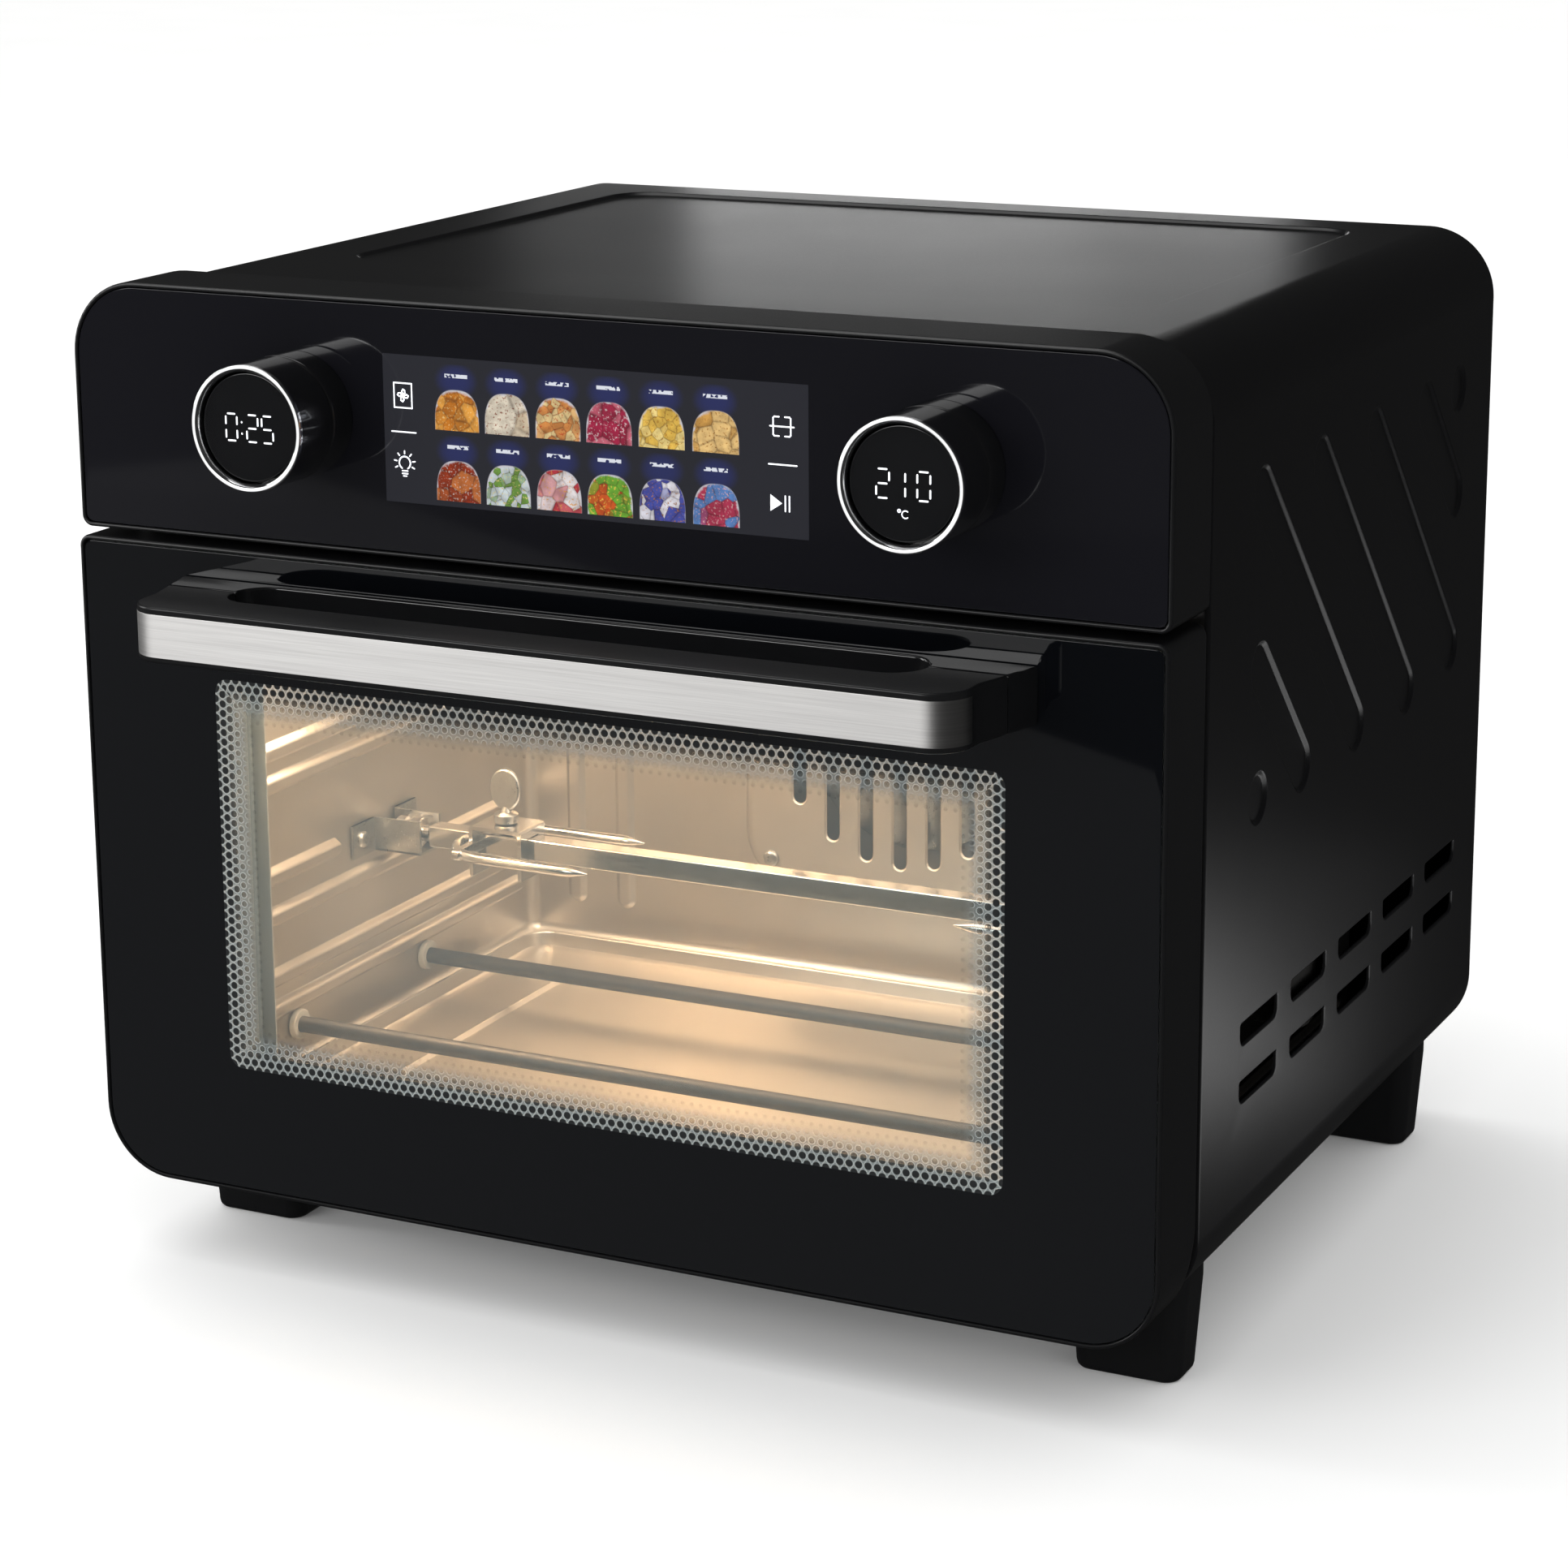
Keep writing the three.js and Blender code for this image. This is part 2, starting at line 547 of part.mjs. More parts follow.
function doorFrame() {
  const { front, back, bottom, top, rail } = DOOR;
  const inset = (d, r) => outline(-HALF + d, bottom + d, HALF - d, top - d, CORNER - d, r);
  const glassBack = front + 0.4 + GLASS + GAP;
  const waste = [
    prism('y', inset(LIP, 3), front - 1, glassBack),
    prism('y', outline(-HALF + SKIRT, rail, HALF - SKIRT, top - SKIRT, 9, 2), glassBack + 3, back + 1, 4),
    prism('y', outline(-WINDOW.half - 4, WINDOW.bottom - 4, WINDOW.half + 4, WINDOW.top + 4, 6), front,
      glassBack + 4, 3),
    heelWaste(),
  ];
  for (const side of Object.values(SIDES)) {
    const slot = span(side, HINGE.x - 2.1, HINGE.x + 2.1);
    waste.push(box(...slot, HINGE.y - 9, back + 1, bottom - 1, HINGE.z + 9));
    waste.push(rod('x', HINGE.y, HINGE.z, ...span(side, HINGE.x - 8, HINGE.x + 8), HINGE.pin + GAP, 16));
    waste.push(rod('y', side * SCREW.x, SCREW.z, front, glassBack + 4, SCREW.r + GAP, 12));
  }
  return cut(prism('y', outline(-HALF, bottom, HALF, top, CORNER, 4), front, back), waste);
}

function doorOuterGlass() {
  const d = LIP + GAP;
  const y = DOOR.front + 0.4;
  const plate = prism('y', outline(-HALF + d, DOOR.bottom + d, HALF - d, DOOR.top - d, CORNER - d, 3),
    y, y + GLASS);
  return cut(plate, [-1, 1].map((s) => rod('y', s * SCREW.x, SCREW.z, y - 1, y + 4, SCREW.r + GAP, 12)));
}

// Steel inner sheet with a tunnel round the window that holds the second glass against its lip.
function doorInnerPanel() {
  const { back, rail, top } = DOOR;
  const w = WINDOW;
  const sheet = outline(-HALF + SKIRT + GAP, rail + GAP, HALF - SKIRT - GAP, top - SKIRT - GAP, 9, 2);
  sheet.holes.push(outline(-w.half + 5, w.bottom + 5, w.half - 5, w.top - 5, 6));
  const tunnel = outline(-w.half - 1, w.bottom - 1, w.half + 1, w.top + 1, 7);
  tunnel.holes.push(outline(-w.half, w.bottom, w.half, w.top, 6));
  return join(prism('y', sheet, back - 1.2, back - 0.2, 3), prism('y', tunnel, 5.5, back - 1, 3));
}

function doorInnerGlass() {
  const w = WINDOW;
  const y1 = DOOR.back - 1.2 - GAP;
  return prism('y', outline(-w.half + GAP, w.bottom + GAP, w.half - GAP, w.top - GAP, 5.7), y1 - 3, y1, 3);
}

function doorSeal() {
  const ring = outline(-180, 41.5, 180, 254, 6);
  ring.holes.push(outline(-176, 45.5, 176, 250.5, 4));
  return prism('y', ring, 29.9, FRAME.front - GAP, 3);
}

// Steel arm on each side of the cavity, reaching into a slot of the door's bottom rail.
function hingeBracket(side) {
  const { x, y, z, pin } = HINGE;
  const plate = span(side, x - 1.5, x + 1.5);
  return join(rod('x', y, z, ...plate, 6, 16),
    box(...plate, y, FRAME.front - GAP, z - 6, z + 0.4),
    box(...span(side, x - 7, x + 7), FRAME.front - GAP - 1.2, FRAME.front - GAP, z - 6, z + 0.4),
    rod('x', y, z, ...span(side, x - 7.5, x + 7.5), pin, 16));
}

// ---- Handle --------------------------------------------------------------------------------------
// Plan of the ring handle: it widens slightly towards the door and has two round front corners.
function handlePlan(inset) {
  const { half, front, back, bend } = HANDLE;
  const r = bend - inset;
  const [x, y] = [half - inset, front + inset];
  const s = new THREE.Shape();
  s.moveTo(-half - 7 + inset, back);
  s.lineTo(-x, y + r + 6);
  s.absarc(-x + r, y + r, r, Math.PI, Math.PI * 1.5, false);
  s.absarc(x - r, y + r, r, -Math.PI / 2, 0, false);
  s.lineTo(x, y + r + 6);
  s.lineTo(half + 7 - inset, back);
  return s;
}

function gripOpening() {
  const { half, front, back } = GRIP;
  const r = (back - front) / 2;
  return prism('z', outline(-half, front, half, back, r - 0.01), HANDLE.bottom - 1, HANDLE.top + 1, 6);
}

const wide = (y0, y1, z0 = HANDLE.bottom - 1, z1 = HANDLE.top + 1) => box(-200, 200, y0, y1, z0, z1);

function handleBand(outer, inner, z0, z1, end) {
  return cut(prism('z', handlePlan(outer), z0, z1, 5),
    prism('z', handlePlan(inner), z0 - 1, z1 + 1, 5), wide(end, 0, z0 - 1, z1 + 1));
}

function handleBody() {
  const { bottom, top, seam } = HANDLE;
  const slab = cut(prism('z', handlePlan(0), bottom, top, 5), wide(seam - 0.2, 0), gripOpening());
  return cut(slab, handleBand(-1, STRIP.thick + GAP, STRIP.bottom - GAP, STRIP.top + GAP, STRIP.end + GAP));
}

function handleBase() {
  const { bottom, top, seam } = HANDLE;
  const rear = cut(prism('z', handlePlan(0), bottom, top, 5), wide(-60, seam + 0.1), gripOpening());
  return cut(rear, [-1, 1].map((s) => rod('y', s * SCREW.x, SCREW.z, -13, 0, SCREW.r + GAP, 12)));
}

// Machine screw from inside the door, through the glass, into the handle's rear part.
function handleScrew(side) {
  const head = DOOR.front + 0.4 + GLASS + GAP + 3 + GAP;
  return join(rod('y', side * SCREW.x, SCREW.z, -12, head + 1, SCREW.r, 12),
    rod('y', side * SCREW.x, SCREW.z, head, head + 2.5, 4, 12));
}

add('door_frame', doorFrame(), 'plastic');
add('door_outer_glass', doorOuterGlass(), 'glass');
add('door_inner_panel', doorInnerPanel(), 'galvanised');
add('door_inner_glass', doorInnerGlass(), 'clear');
add('door_seal', doorSeal(), 'rubber');
add('handle_base', handleBase(), 'plastic');
add('handle_body', handleBody(), 'plastic');
add('handle_trim', handleBand(0, STRIP.thick, STRIP.bottom, STRIP.top, STRIP.end), 'steel');
for (const [label, side] of Object.entries(SIDES)) {
  add(`handle_screw_${label}`, handleScrew(side), 'steel');
  add(`hinge_bracket_${label}`, hingeBracket(side), 'steel');
}

export default oven;
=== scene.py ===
"""Countertop oven with a rotisserie spit: black cabinet, glass control panel, glazed drop-down door.
Metres. X is the oven's right as seen from the front, Y runs to the back, Z is up."""

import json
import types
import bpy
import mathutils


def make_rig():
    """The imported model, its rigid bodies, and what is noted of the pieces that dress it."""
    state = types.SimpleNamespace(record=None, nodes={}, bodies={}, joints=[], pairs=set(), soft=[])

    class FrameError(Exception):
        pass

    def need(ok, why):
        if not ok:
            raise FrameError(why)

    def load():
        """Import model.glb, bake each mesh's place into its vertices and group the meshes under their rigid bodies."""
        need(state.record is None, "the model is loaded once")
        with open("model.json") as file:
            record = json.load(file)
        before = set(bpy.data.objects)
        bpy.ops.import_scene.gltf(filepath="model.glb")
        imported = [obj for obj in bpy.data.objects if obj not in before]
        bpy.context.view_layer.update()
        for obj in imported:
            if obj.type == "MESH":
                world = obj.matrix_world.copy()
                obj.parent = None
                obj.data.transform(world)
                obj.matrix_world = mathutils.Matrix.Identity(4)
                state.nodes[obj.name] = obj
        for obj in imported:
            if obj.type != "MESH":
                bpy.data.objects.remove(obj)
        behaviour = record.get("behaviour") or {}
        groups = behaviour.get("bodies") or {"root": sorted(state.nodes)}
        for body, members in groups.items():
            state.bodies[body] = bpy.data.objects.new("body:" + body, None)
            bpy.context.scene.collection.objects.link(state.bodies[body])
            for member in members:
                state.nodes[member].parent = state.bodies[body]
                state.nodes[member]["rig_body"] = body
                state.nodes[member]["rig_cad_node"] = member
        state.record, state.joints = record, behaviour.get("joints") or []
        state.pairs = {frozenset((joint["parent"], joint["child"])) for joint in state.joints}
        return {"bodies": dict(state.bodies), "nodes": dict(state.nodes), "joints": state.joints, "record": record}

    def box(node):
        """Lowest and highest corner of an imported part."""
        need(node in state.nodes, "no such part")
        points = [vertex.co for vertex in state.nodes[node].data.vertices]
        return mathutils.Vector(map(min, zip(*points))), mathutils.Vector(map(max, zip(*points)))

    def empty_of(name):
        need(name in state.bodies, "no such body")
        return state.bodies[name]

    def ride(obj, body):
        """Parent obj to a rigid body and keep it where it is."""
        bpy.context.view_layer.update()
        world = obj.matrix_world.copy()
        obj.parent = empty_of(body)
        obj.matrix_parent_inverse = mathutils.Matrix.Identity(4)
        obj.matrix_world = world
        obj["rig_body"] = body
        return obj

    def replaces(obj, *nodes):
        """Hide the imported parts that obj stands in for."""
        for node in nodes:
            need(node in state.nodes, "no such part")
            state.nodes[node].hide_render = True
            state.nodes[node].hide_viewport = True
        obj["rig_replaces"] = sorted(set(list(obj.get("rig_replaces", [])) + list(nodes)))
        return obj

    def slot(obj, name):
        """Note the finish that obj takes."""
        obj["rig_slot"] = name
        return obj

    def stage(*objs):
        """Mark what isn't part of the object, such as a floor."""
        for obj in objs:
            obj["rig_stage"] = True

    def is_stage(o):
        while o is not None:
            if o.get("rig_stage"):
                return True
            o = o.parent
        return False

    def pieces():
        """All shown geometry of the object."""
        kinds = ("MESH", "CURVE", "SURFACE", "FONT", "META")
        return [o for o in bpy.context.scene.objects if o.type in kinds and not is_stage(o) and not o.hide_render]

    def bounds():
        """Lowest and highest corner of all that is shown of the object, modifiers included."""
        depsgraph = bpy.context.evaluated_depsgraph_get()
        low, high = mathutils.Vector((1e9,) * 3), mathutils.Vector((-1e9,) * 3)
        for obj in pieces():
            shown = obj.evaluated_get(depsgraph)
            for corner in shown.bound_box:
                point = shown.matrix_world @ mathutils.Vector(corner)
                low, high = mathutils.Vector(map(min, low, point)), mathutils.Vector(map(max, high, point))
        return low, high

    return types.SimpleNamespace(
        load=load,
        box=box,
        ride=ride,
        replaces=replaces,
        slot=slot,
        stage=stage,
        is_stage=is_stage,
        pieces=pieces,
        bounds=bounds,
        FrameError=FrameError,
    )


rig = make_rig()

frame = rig.load()

import json
import math

import bmesh
import bpy
from mathutils import Matrix, Vector
from mathutils.geometry import delaunay_2d_cdt

cad_size = [list(corner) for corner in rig.bounds()]


# ---- Camera and studio ---------------------------------------------------------------------------
# A long lens from the oven's right front, a little above it, over a plain white floor. Softboxes hang
# behind and above the oven and stand to its left and front; white cards light only chosen pieces.
scene = bpy.context.scene
scene.view_settings.view_transform = "Standard"
YAW, PITCH, ROLL = (math.radians(turn) for turn in (26.21, 13.6, -0.39))
EYE = Vector((0.5905, -1.2056, 0.5255))
SENSOR, LENS, SHIFT = 36, 90.03, -0.0802

ahead = Vector((-math.sin(YAW) * math.cos(PITCH), math.cos(YAW) * math.cos(PITCH), -math.sin(PITCH)))
level = Vector((math.cos(YAW), math.sin(YAW), 0))
upright = level.cross(ahead)
across = math.cos(ROLL) * level + math.sin(ROLL) * upright
upward = math.cos(ROLL) * upright - math.sin(ROLL) * level
camera = bpy.data.objects.new("camera", bpy.data.cameras.new("camera"))
scene.collection.objects.link(camera)
camera.matrix_world = Matrix((
    (across.x, upward.x, -ahead.x, EYE.x),
    (across.y, upward.y, -ahead.y, EYE.y),
    (across.z, upward.z, -ahead.z, EYE.z),
    (0, 0, 0, 1)))
camera.data.sensor_width, camera.data.lens, camera.data.shift_y = SENSOR, LENS, SHIFT
camera.data.clip_start, camera.data.clip_end = 0.05, 60
scene.camera = camera


class Wire:
    """One value or colour on its way through a material, so that shading is written as plain sums."""

    def __init__(self, tree, socket=None):
        self.tree, self.socket = tree, socket

    def node(self, kind, settings=None, sockets=None, out=0):
        made = self.tree.nodes.new("ShaderNode" + kind)
        for key, value in (settings or {}).items():
            setattr(made, key, value)
        for key, value in (sockets or {}).items():
            feed(self.tree, made.inputs[key], value)
        return Wire(self.tree, made.outputs[out])

    def sum(self, operation, a, b=0.0, c=0.0):
        return self.node("Math", {"operation": operation}, {0: a, 1: b, 2: c})

    def __add__(self, other): return self.sum("ADD", self, other)
    def __radd__(self, other): return self.sum("ADD", other, self)
    def __sub__(self, other): return self.sum("SUBTRACT", self, other)
    def __rsub__(self, other): return self.sum("SUBTRACT", other, self)
    def __mul__(self, other): return self.sum("MULTIPLY", self, other)
    def __rmul__(self, other): return self.sum("MULTIPLY", other, self)
    def __truediv__(self, other): return self.sum("DIVIDE", self, other)
    def __pow__(self, other): return self.sum("POWER", self, other)
    def __abs__(self): return self.sum("ABSOLUTE", self)
    def __lt__(self, other): return self.sum("LESS_THAN", self, other)
    def __gt__(self, other): return self.sum("GREATER_THAN", self, other)
    def __round__(self): return self.sum("ROUND", self)
    def __mod__(self, other): return self.sum("FLOORED_MODULO", self, other)

    def high(self, other): return self.sum("MAXIMUM", self, other)
    def low(self, other): return self.sum("MINIMUM", self, other)
    def root(self): return self.sum("SQRT", self)

    def ramp(self, start, end, low=0.0, high=1.0):
        """Rises smoothly from low to high while this value goes from start to end."""
        return self.node("MapRange", {"interpolation_type": "SMOOTHSTEP"},
                         {0: self, 1: start, 2: end, 3: low, 4: high})

    def mix(self, one, other):
        """A colour, from one where this value is 0 to other where it is 1."""
        return self.node("Mix", {"data_type": "RGBA"}, {0: self, 6: one, 7: other}, out=2)

    def noise(self, scale, detail=2.0, stretch=(1, 1, 1)):
        """Even noise on the piece's own coordinates; stretch squeezes it along an axis."""
        place = self.node("TexCoord", out=3)
        place = place.node("Mapping", {}, {"Vector": place, "Scale": stretch})
        return place.node("TexNoise", {}, {"Vector": place, "Scale": scale, "Detail": detail})

    def along(self):
        """The piece's own x, y and z."""
        place = self.node("TexCoord", out=3)
        return [place.node("SeparateXYZ", {}, {0: place}, out=k) for k in range(3)]

    def bump(self, depth, strength=1.0):
        """A surface lifted by this height, 0 to 1, times depth in metres."""
        return self.node("Bump", {}, {"Height": self, "Distance": depth, "Strength": strength})


def feed(tree, entry, value):
    if isinstance(value, Wire):
        tree.links.new(value.socket, entry)
    elif hasattr(value, "__len__") and len(entry.default_value) == 4 and len(value) == 3:
        entry.default_value = (*value, 1)
    else:
        entry.default_value = value


def finish(name, plain):
    """A new material with plain values on its shader, and a wire to draw its patterns with."""
    material = bpy.data.materials.new(name)
    material.use_nodes = True
    tree = material.node_tree
    for key, value in plain.items():
        feed(tree, tree.nodes["Principled BSDF"].inputs[key], value)
    return material, Wire(tree)


def wear(material, patterns):
    """Feeds patterns to the shader's sockets."""
    tree = material.node_tree
    for key, value in patterns.items():
        feed(tree, tree.nodes["Principled BSDF"].inputs[key], value)


floor_mesh = bpy.data.meshes.new("floor")
FLOOR_RADIUS = 14
ring = [(FLOOR_RADIUS * math.cos(k * math.pi / 32), FLOOR_RADIUS * math.sin(k * math.pi / 32), 0)
        for k in range(64)]
floor_mesh.from_pydata(ring, [], [list(range(64))])
floor = bpy.data.objects.new("floor", floor_mesh)
scene.collection.objects.link(floor)
floor.visible_glossy = False
paper, w = finish("white paper", {"Roughness": 0.9, "Specular IOR Level": 0.1, "Emission Color": (1, 1, 1),
                                   "Emission Strength": 0.05})
wear(paper, {"Base Color": w.noise(6, 3).mix((0.9, 0.9, 0.895), (0.94, 0.94, 0.935))})
floor_mesh.materials.append(paper)
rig.stage(floor)

world = bpy.data.worlds.new("studio")
scene.world = world
world.use_nodes = True
sky = Wire(world.node_tree)
seen = sky.node("LightPath", out=0)
mirrored = sky.node("LightPath", out=3)
feed(world.node_tree, world.node_tree.nodes["Background"].inputs["Strength"],
     seen + (1 - seen) * (1.06 - 1.03 * mirrored))
world.node_tree.nodes["Background"].inputs["Color"].default_value = (1, 1, 1, 1)


def softbox(name, place, target, wide, high, watts, tint=(1, 1, 1)):
    lamp = bpy.data.lights.new(name, "AREA")
    lamp.shape, lamp.size, lamp.size_y, lamp.energy, lamp.color = "RECTANGLE", wide, high, watts, tint
    light = bpy.data.objects.new(name, lamp)
    light.location = place
    light.rotation_euler = (Vector(place) - Vector(target)).to_track_quat("Z", "Y").to_euler()
    light.visible_camera = False
    scene.collection.objects.link(light)
    return light


softbox("softbox_rear", (-1.5, 3.1, 0.6), (0, 0.1, 0.3), 0.7, 0.22, 0.5)
softbox("softbox_overhead", (-0.9, 0.3, 2.6), (0, 0, 0.1), 1.8, 1.8, 15)
softbox("softbox_left", (-2.4, -0.5, 0.9), (0, 0, 0.2), 0.5, 1.4, 12)
softbox("softbox_front", (-1.25, -2.3, 1.15), (0, -0.1, 0.25), 1.7, 0.8, 23)


def card(name, receivers, *numbers):
    """A white card that lights only the pieces put on its list, so that the black glass stays dark."""
    lit_pieces = bpy.data.collections.new(receivers)
    softbox(name, *numbers).light_linking.receiver_collection = lit_pieces
    return lit_pieces


trims = card("card_front", "bright trims", (-0.42, -0.98, 0.1), (0, -0.19, 0.25), 1.5, 0.7, 3.9)
walls = card("card_roof", "cabinet walls", (-0.29, 0.85, 0.435), (0, 0.15, 0.34), 0.34, 0.06, 0.16)
flank = card("card_side", "cabinet side", (0.335, 0.26, 0.03), (0.196, -0.12, 0.15), 0.14, 0.08, 0.0025)
grooves = card("card_grooves", "side grooves", (0.37, 0.1, 0.02), (0.196, 0.06, 0.24), 0.3, 0.1, 0.12)
edges = card("card_edges", "front edges", (-1.0, -0.75, 0.45), (-0.15, -0.15, 0.25), 0.25, 0.9, 2.2)
# Two cards flat on the floor show in the front glass, one below the knobs and one below the handle.
panes = bpy.data.collections.new("front glass")
for name, place, turn, wide, deep, watts in (("card_floor_far", (-0.9, -1.95, 0.02), 4, 2.0, 1.5, 0.2),
                                             ("card_floor_near", (-0.393, -0.498, 0.02), 30.4, 1.8, 0.9,
                                              0.75)):
    flat = softbox(name, place, (0, 0, 0.2), wide, deep, watts)
    flat.rotation_euler = (math.pi, 0, math.radians(turn))
    flat.light_linking.receiver_collection = panes
    if name == "card_floor_far":
        flat.data.shape = "ELLIPSE"


# ---- Cabinet -------------------------------------------------------------------------------------
# One steel sheet folded over both sides and the top, powder coated satin black. Diagonal grooves,
# two dimples and a shallow tray are pressed in; the vent slots have their edges turned inwards.
def rounded(u0, v0, u1, v1, low, high=None, steps=10):
    """A rounded rectangle, anticlockwise; low and high are its lower and upper corner radii."""
    high = low if high is None else high
    points = []
    for cu, cv, r, start in ((u1 - low, v0 + low, low, -90), (u1 - high, v1 - high, high, 0),
                             (u0 + high, v1 - high, high, 90), (u0 + low, v0 + low, low, 180)):
        for k in range(steps + 1):
            a = math.radians(start + 90 * k / steps)
            points.append((cu + r * math.cos(a), cv + r * math.sin(a)))
    return points


def stadium(u0, v0, u1, v1, r, steps=12):
    """A strip with two round ends, anticlockwise; a ring where both ends are one point."""
    a = math.atan2(v1 - v0, u1 - u0)
    points = []
    for cu, cv, start in ((u1, v1, a - math.pi / 2), (u0, v0, a + math.pi / 2)):
        for k in range(steps + 1):
            t = start + math.pi * k / steps
            points.append((cu + r * math.cos(t), cv + r * math.sin(t)))
    return points


def within(loop, u, v):
    found = False
    for (u0, v0), (u1, v1) in zip(loop, loop[1:] + loop[:1]):
        if (v0 > v) != (v1 > v) and u < (u1 - u0) * (v - v0) / (v1 - v0) + u0:
            found = not found
    return found


def fill(outer, holes):
    """Triangles over a flat outline that leave its holes open, as indices into all their points."""
    loops = [outer, *holes]
    points = [Vector(p) for loop in loops for p in loop]
    edges, start = [], 0
    for loop in loops:
        n = len(loop)
        edges += [(start + i, start + (i + 1) % n) for i in range(n)]
        start += n
    spots, _, triangles, origin, _, _ = delaunay_2d_cdt(points, edges, [], 1, 1e-8)
    limits = [(min(p[0] for p in h), max(p[0] for p in h), min(p[1] for p in h), max(p[1] for p in h))
              for h in holes]
    kept = []
    for t in triangles:
        u, v = (sum(spots[i][k] for i in t) / 3 for k in (0, 1))
        if not any(a < u < b and c < v < d and within(list(h), u, v)
                   for h, (a, b, c, d) in zip(holes, limits)):
            kept.append([origin[i][0] for i in t])
    return kept


class Shape:
    """Points and faces gathered for one mesh."""

    def __init__(self):
        self.points, self.faces = [], []

    def loop(self, points):
        start = len(self.points)
        self.points += [tuple(p) for p in points]
        return list(range(start, len(self.points)))

    def strip(self, one, other, closed=True):
        n = len(one)
        for i in range(n if closed else n - 1):
            j = (i + 1) % n
            self.faces.append((one[i], one[j], other[j], other[i]))

    def strips(self, rings, closed=True):
        for one, other in zip(rings, rings[1:]):
            self.strip(one, other, closed)

    def skin(self, loops, closed=False, caps=True, open_loops=False):
        """Joins loops of equal length one after another, and closes both ends."""
        rings = [self.loop(points) for points in loops]
        self.strips(rings, not open_loops)
        if closed:
            self.strip(rings[-1], rings[0], not open_loops)
        elif caps:
            self.faces += [tuple(reversed(rings[0])), tuple(rings[-1])]

    def sheet(self, outer, features, put):
        """A flat sheet with pressings. Each feature is a list of (outline, depth), widest first, and
        ends in None where it is a hole. put turns (u, v, depth) into a point."""
        first = [f[0][0] for f in features]
        ids = self.loop([put(u, v, 0) for loop in (outer, *first) for u, v in loop])
        self.faces += [tuple(ids[i] for i in t) for t in fill(outer, first)]
        start = len(outer)
        for f in features:
            ring = ids[start:start + len(f[0][0])]
            start += len(ring)
            for step in f[1:]:
                if step is None:
                    ring = None
                    break
                inner = self.loop([put(u, v, step[1]) for u, v in step[0]])
                self.strip(ring, inner)
                ring = inner
            if ring is not None:
                self.faces.append(tuple(ring))


def build(name, shape, sharp=40, out_of=None, inside_out=False, modify=None):
    """Makes a mesh object with outward normals, smooth but for sharp edges and flat on its flats."""
    mesh = bpy.data.meshes.new(name)
    mesh.from_pydata(shape.points, [], shape.faces)
    work = bmesh.new()
    work.from_mesh(mesh)
    bmesh.ops.remove_doubles(work, verts=work.verts, dist=2e-6)
    bmesh.ops.recalc_face_normals(work, faces=work.faces)
    if out_of is not None:
        lean = sum(f.normal.dot(f.calc_center_median() - Vector(out_of)) * f.calc_area()
                   for f in work.faces)
        if (lean < 0) != inside_out:
            bmesh.ops.reverse_faces(work, faces=work.faces)
    work.to_mesh(mesh)
    work.free()
    piece = bpy.data.objects.new(name, mesh)
    scene.collection.objects.link(piece)
    if modify:
        modify(piece)
        settle(piece)
    piece.data.shade_smooth()
    piece.data.set_sharp_from_angle(angle=math.radians(sharp))
    piece.modifiers.new("flats", "WEIGHTED_NORMAL").keep_sharp = True
    settle(piece)
    return piece


def settle(piece):
    """Turns a piece and its modifiers into a plain mesh."""
    view = bpy.context.evaluated_depsgraph_get()
    made = bpy.data.meshes.new_from_object(piece.evaluated_get(view), depsgraph=view)
    piece.modifiers.clear()
    piece.data = made


def dress(piece, material, body, slot, *nodes):
    """Gives a piece its material, the body that it moves with and the part that it stands for."""
    piece.data.materials.clear()
    piece.data.materials.append(material)
    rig.slot(piece, slot)
    if nodes:
        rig.replaces(piece, *nodes)
    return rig.ride(piece, body)


def thicken(amount, offset=-1):
    def add(piece):
        wall = piece.modifiers.new("wall", "SOLIDIFY")
        wall.thickness, wall.offset, wall.use_even_offset = amount, offset, True
    return add


MM = 0.001
shell_low, shell_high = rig.box("cabinet_shell")
HALF, ROOF, UNDER = shell_high.x, shell_high.z, shell_low.z
FRONT, REAR = shell_low.y, shell_high.y
SHEET, BEND = 1.2 * MM, 25 * MM
HEM = 1.6 * MM


def pressing(outline, grow, deep):
    """The rounded wall of a pressing, from its upper rim to its floor."""
    return [(outline(grow), 0), (outline(grow * 0.62), deep * 0.08), (outline(grow * 0.3), deep * 0.3),
            (outline(-grow * 0.3), deep * 0.7), (outline(-grow * 0.62), deep * 0.92),
            (outline(-grow), deep)]


def groove_lines():
    """Grooves falling to the back at 45 degrees inside one rectangle, and a dimple in two corners."""
    r, pitch = 8 * MM, 56.5 * MM
    start_y, end_y = FRONT + 40.2 * MM, FRONT + 264.2 * MM
    low, top = UNDER + 149.5 * MM, UNDER + 264.5 * MM
    lines = []
    for k in range(-1, 4):
        begin = start_y + k * pitch
        y0 = max(begin, start_y) + r
        z0 = top - max(0, start_y - begin) - r
        fall = min(z0 - low - r, end_y - r - y0)
        lines.append((y0, z0, y0 + fall, z0 - fall))
    for y, z in ((start_y + r, low + r), (end_y - r, top - r)):
        lines.append((y, z, y, z))
    return [(lambda d, a=a, r=r: stadium(*a, r + d)) for a in lines]


def vent(y, top):
    long, high = 35 * MM, 7 * MM
    return lambda d: rounded(y - d, top - high - d, y + long + d, top + d, 3.4 * MM + d, 0.5 * MM + d, 5)


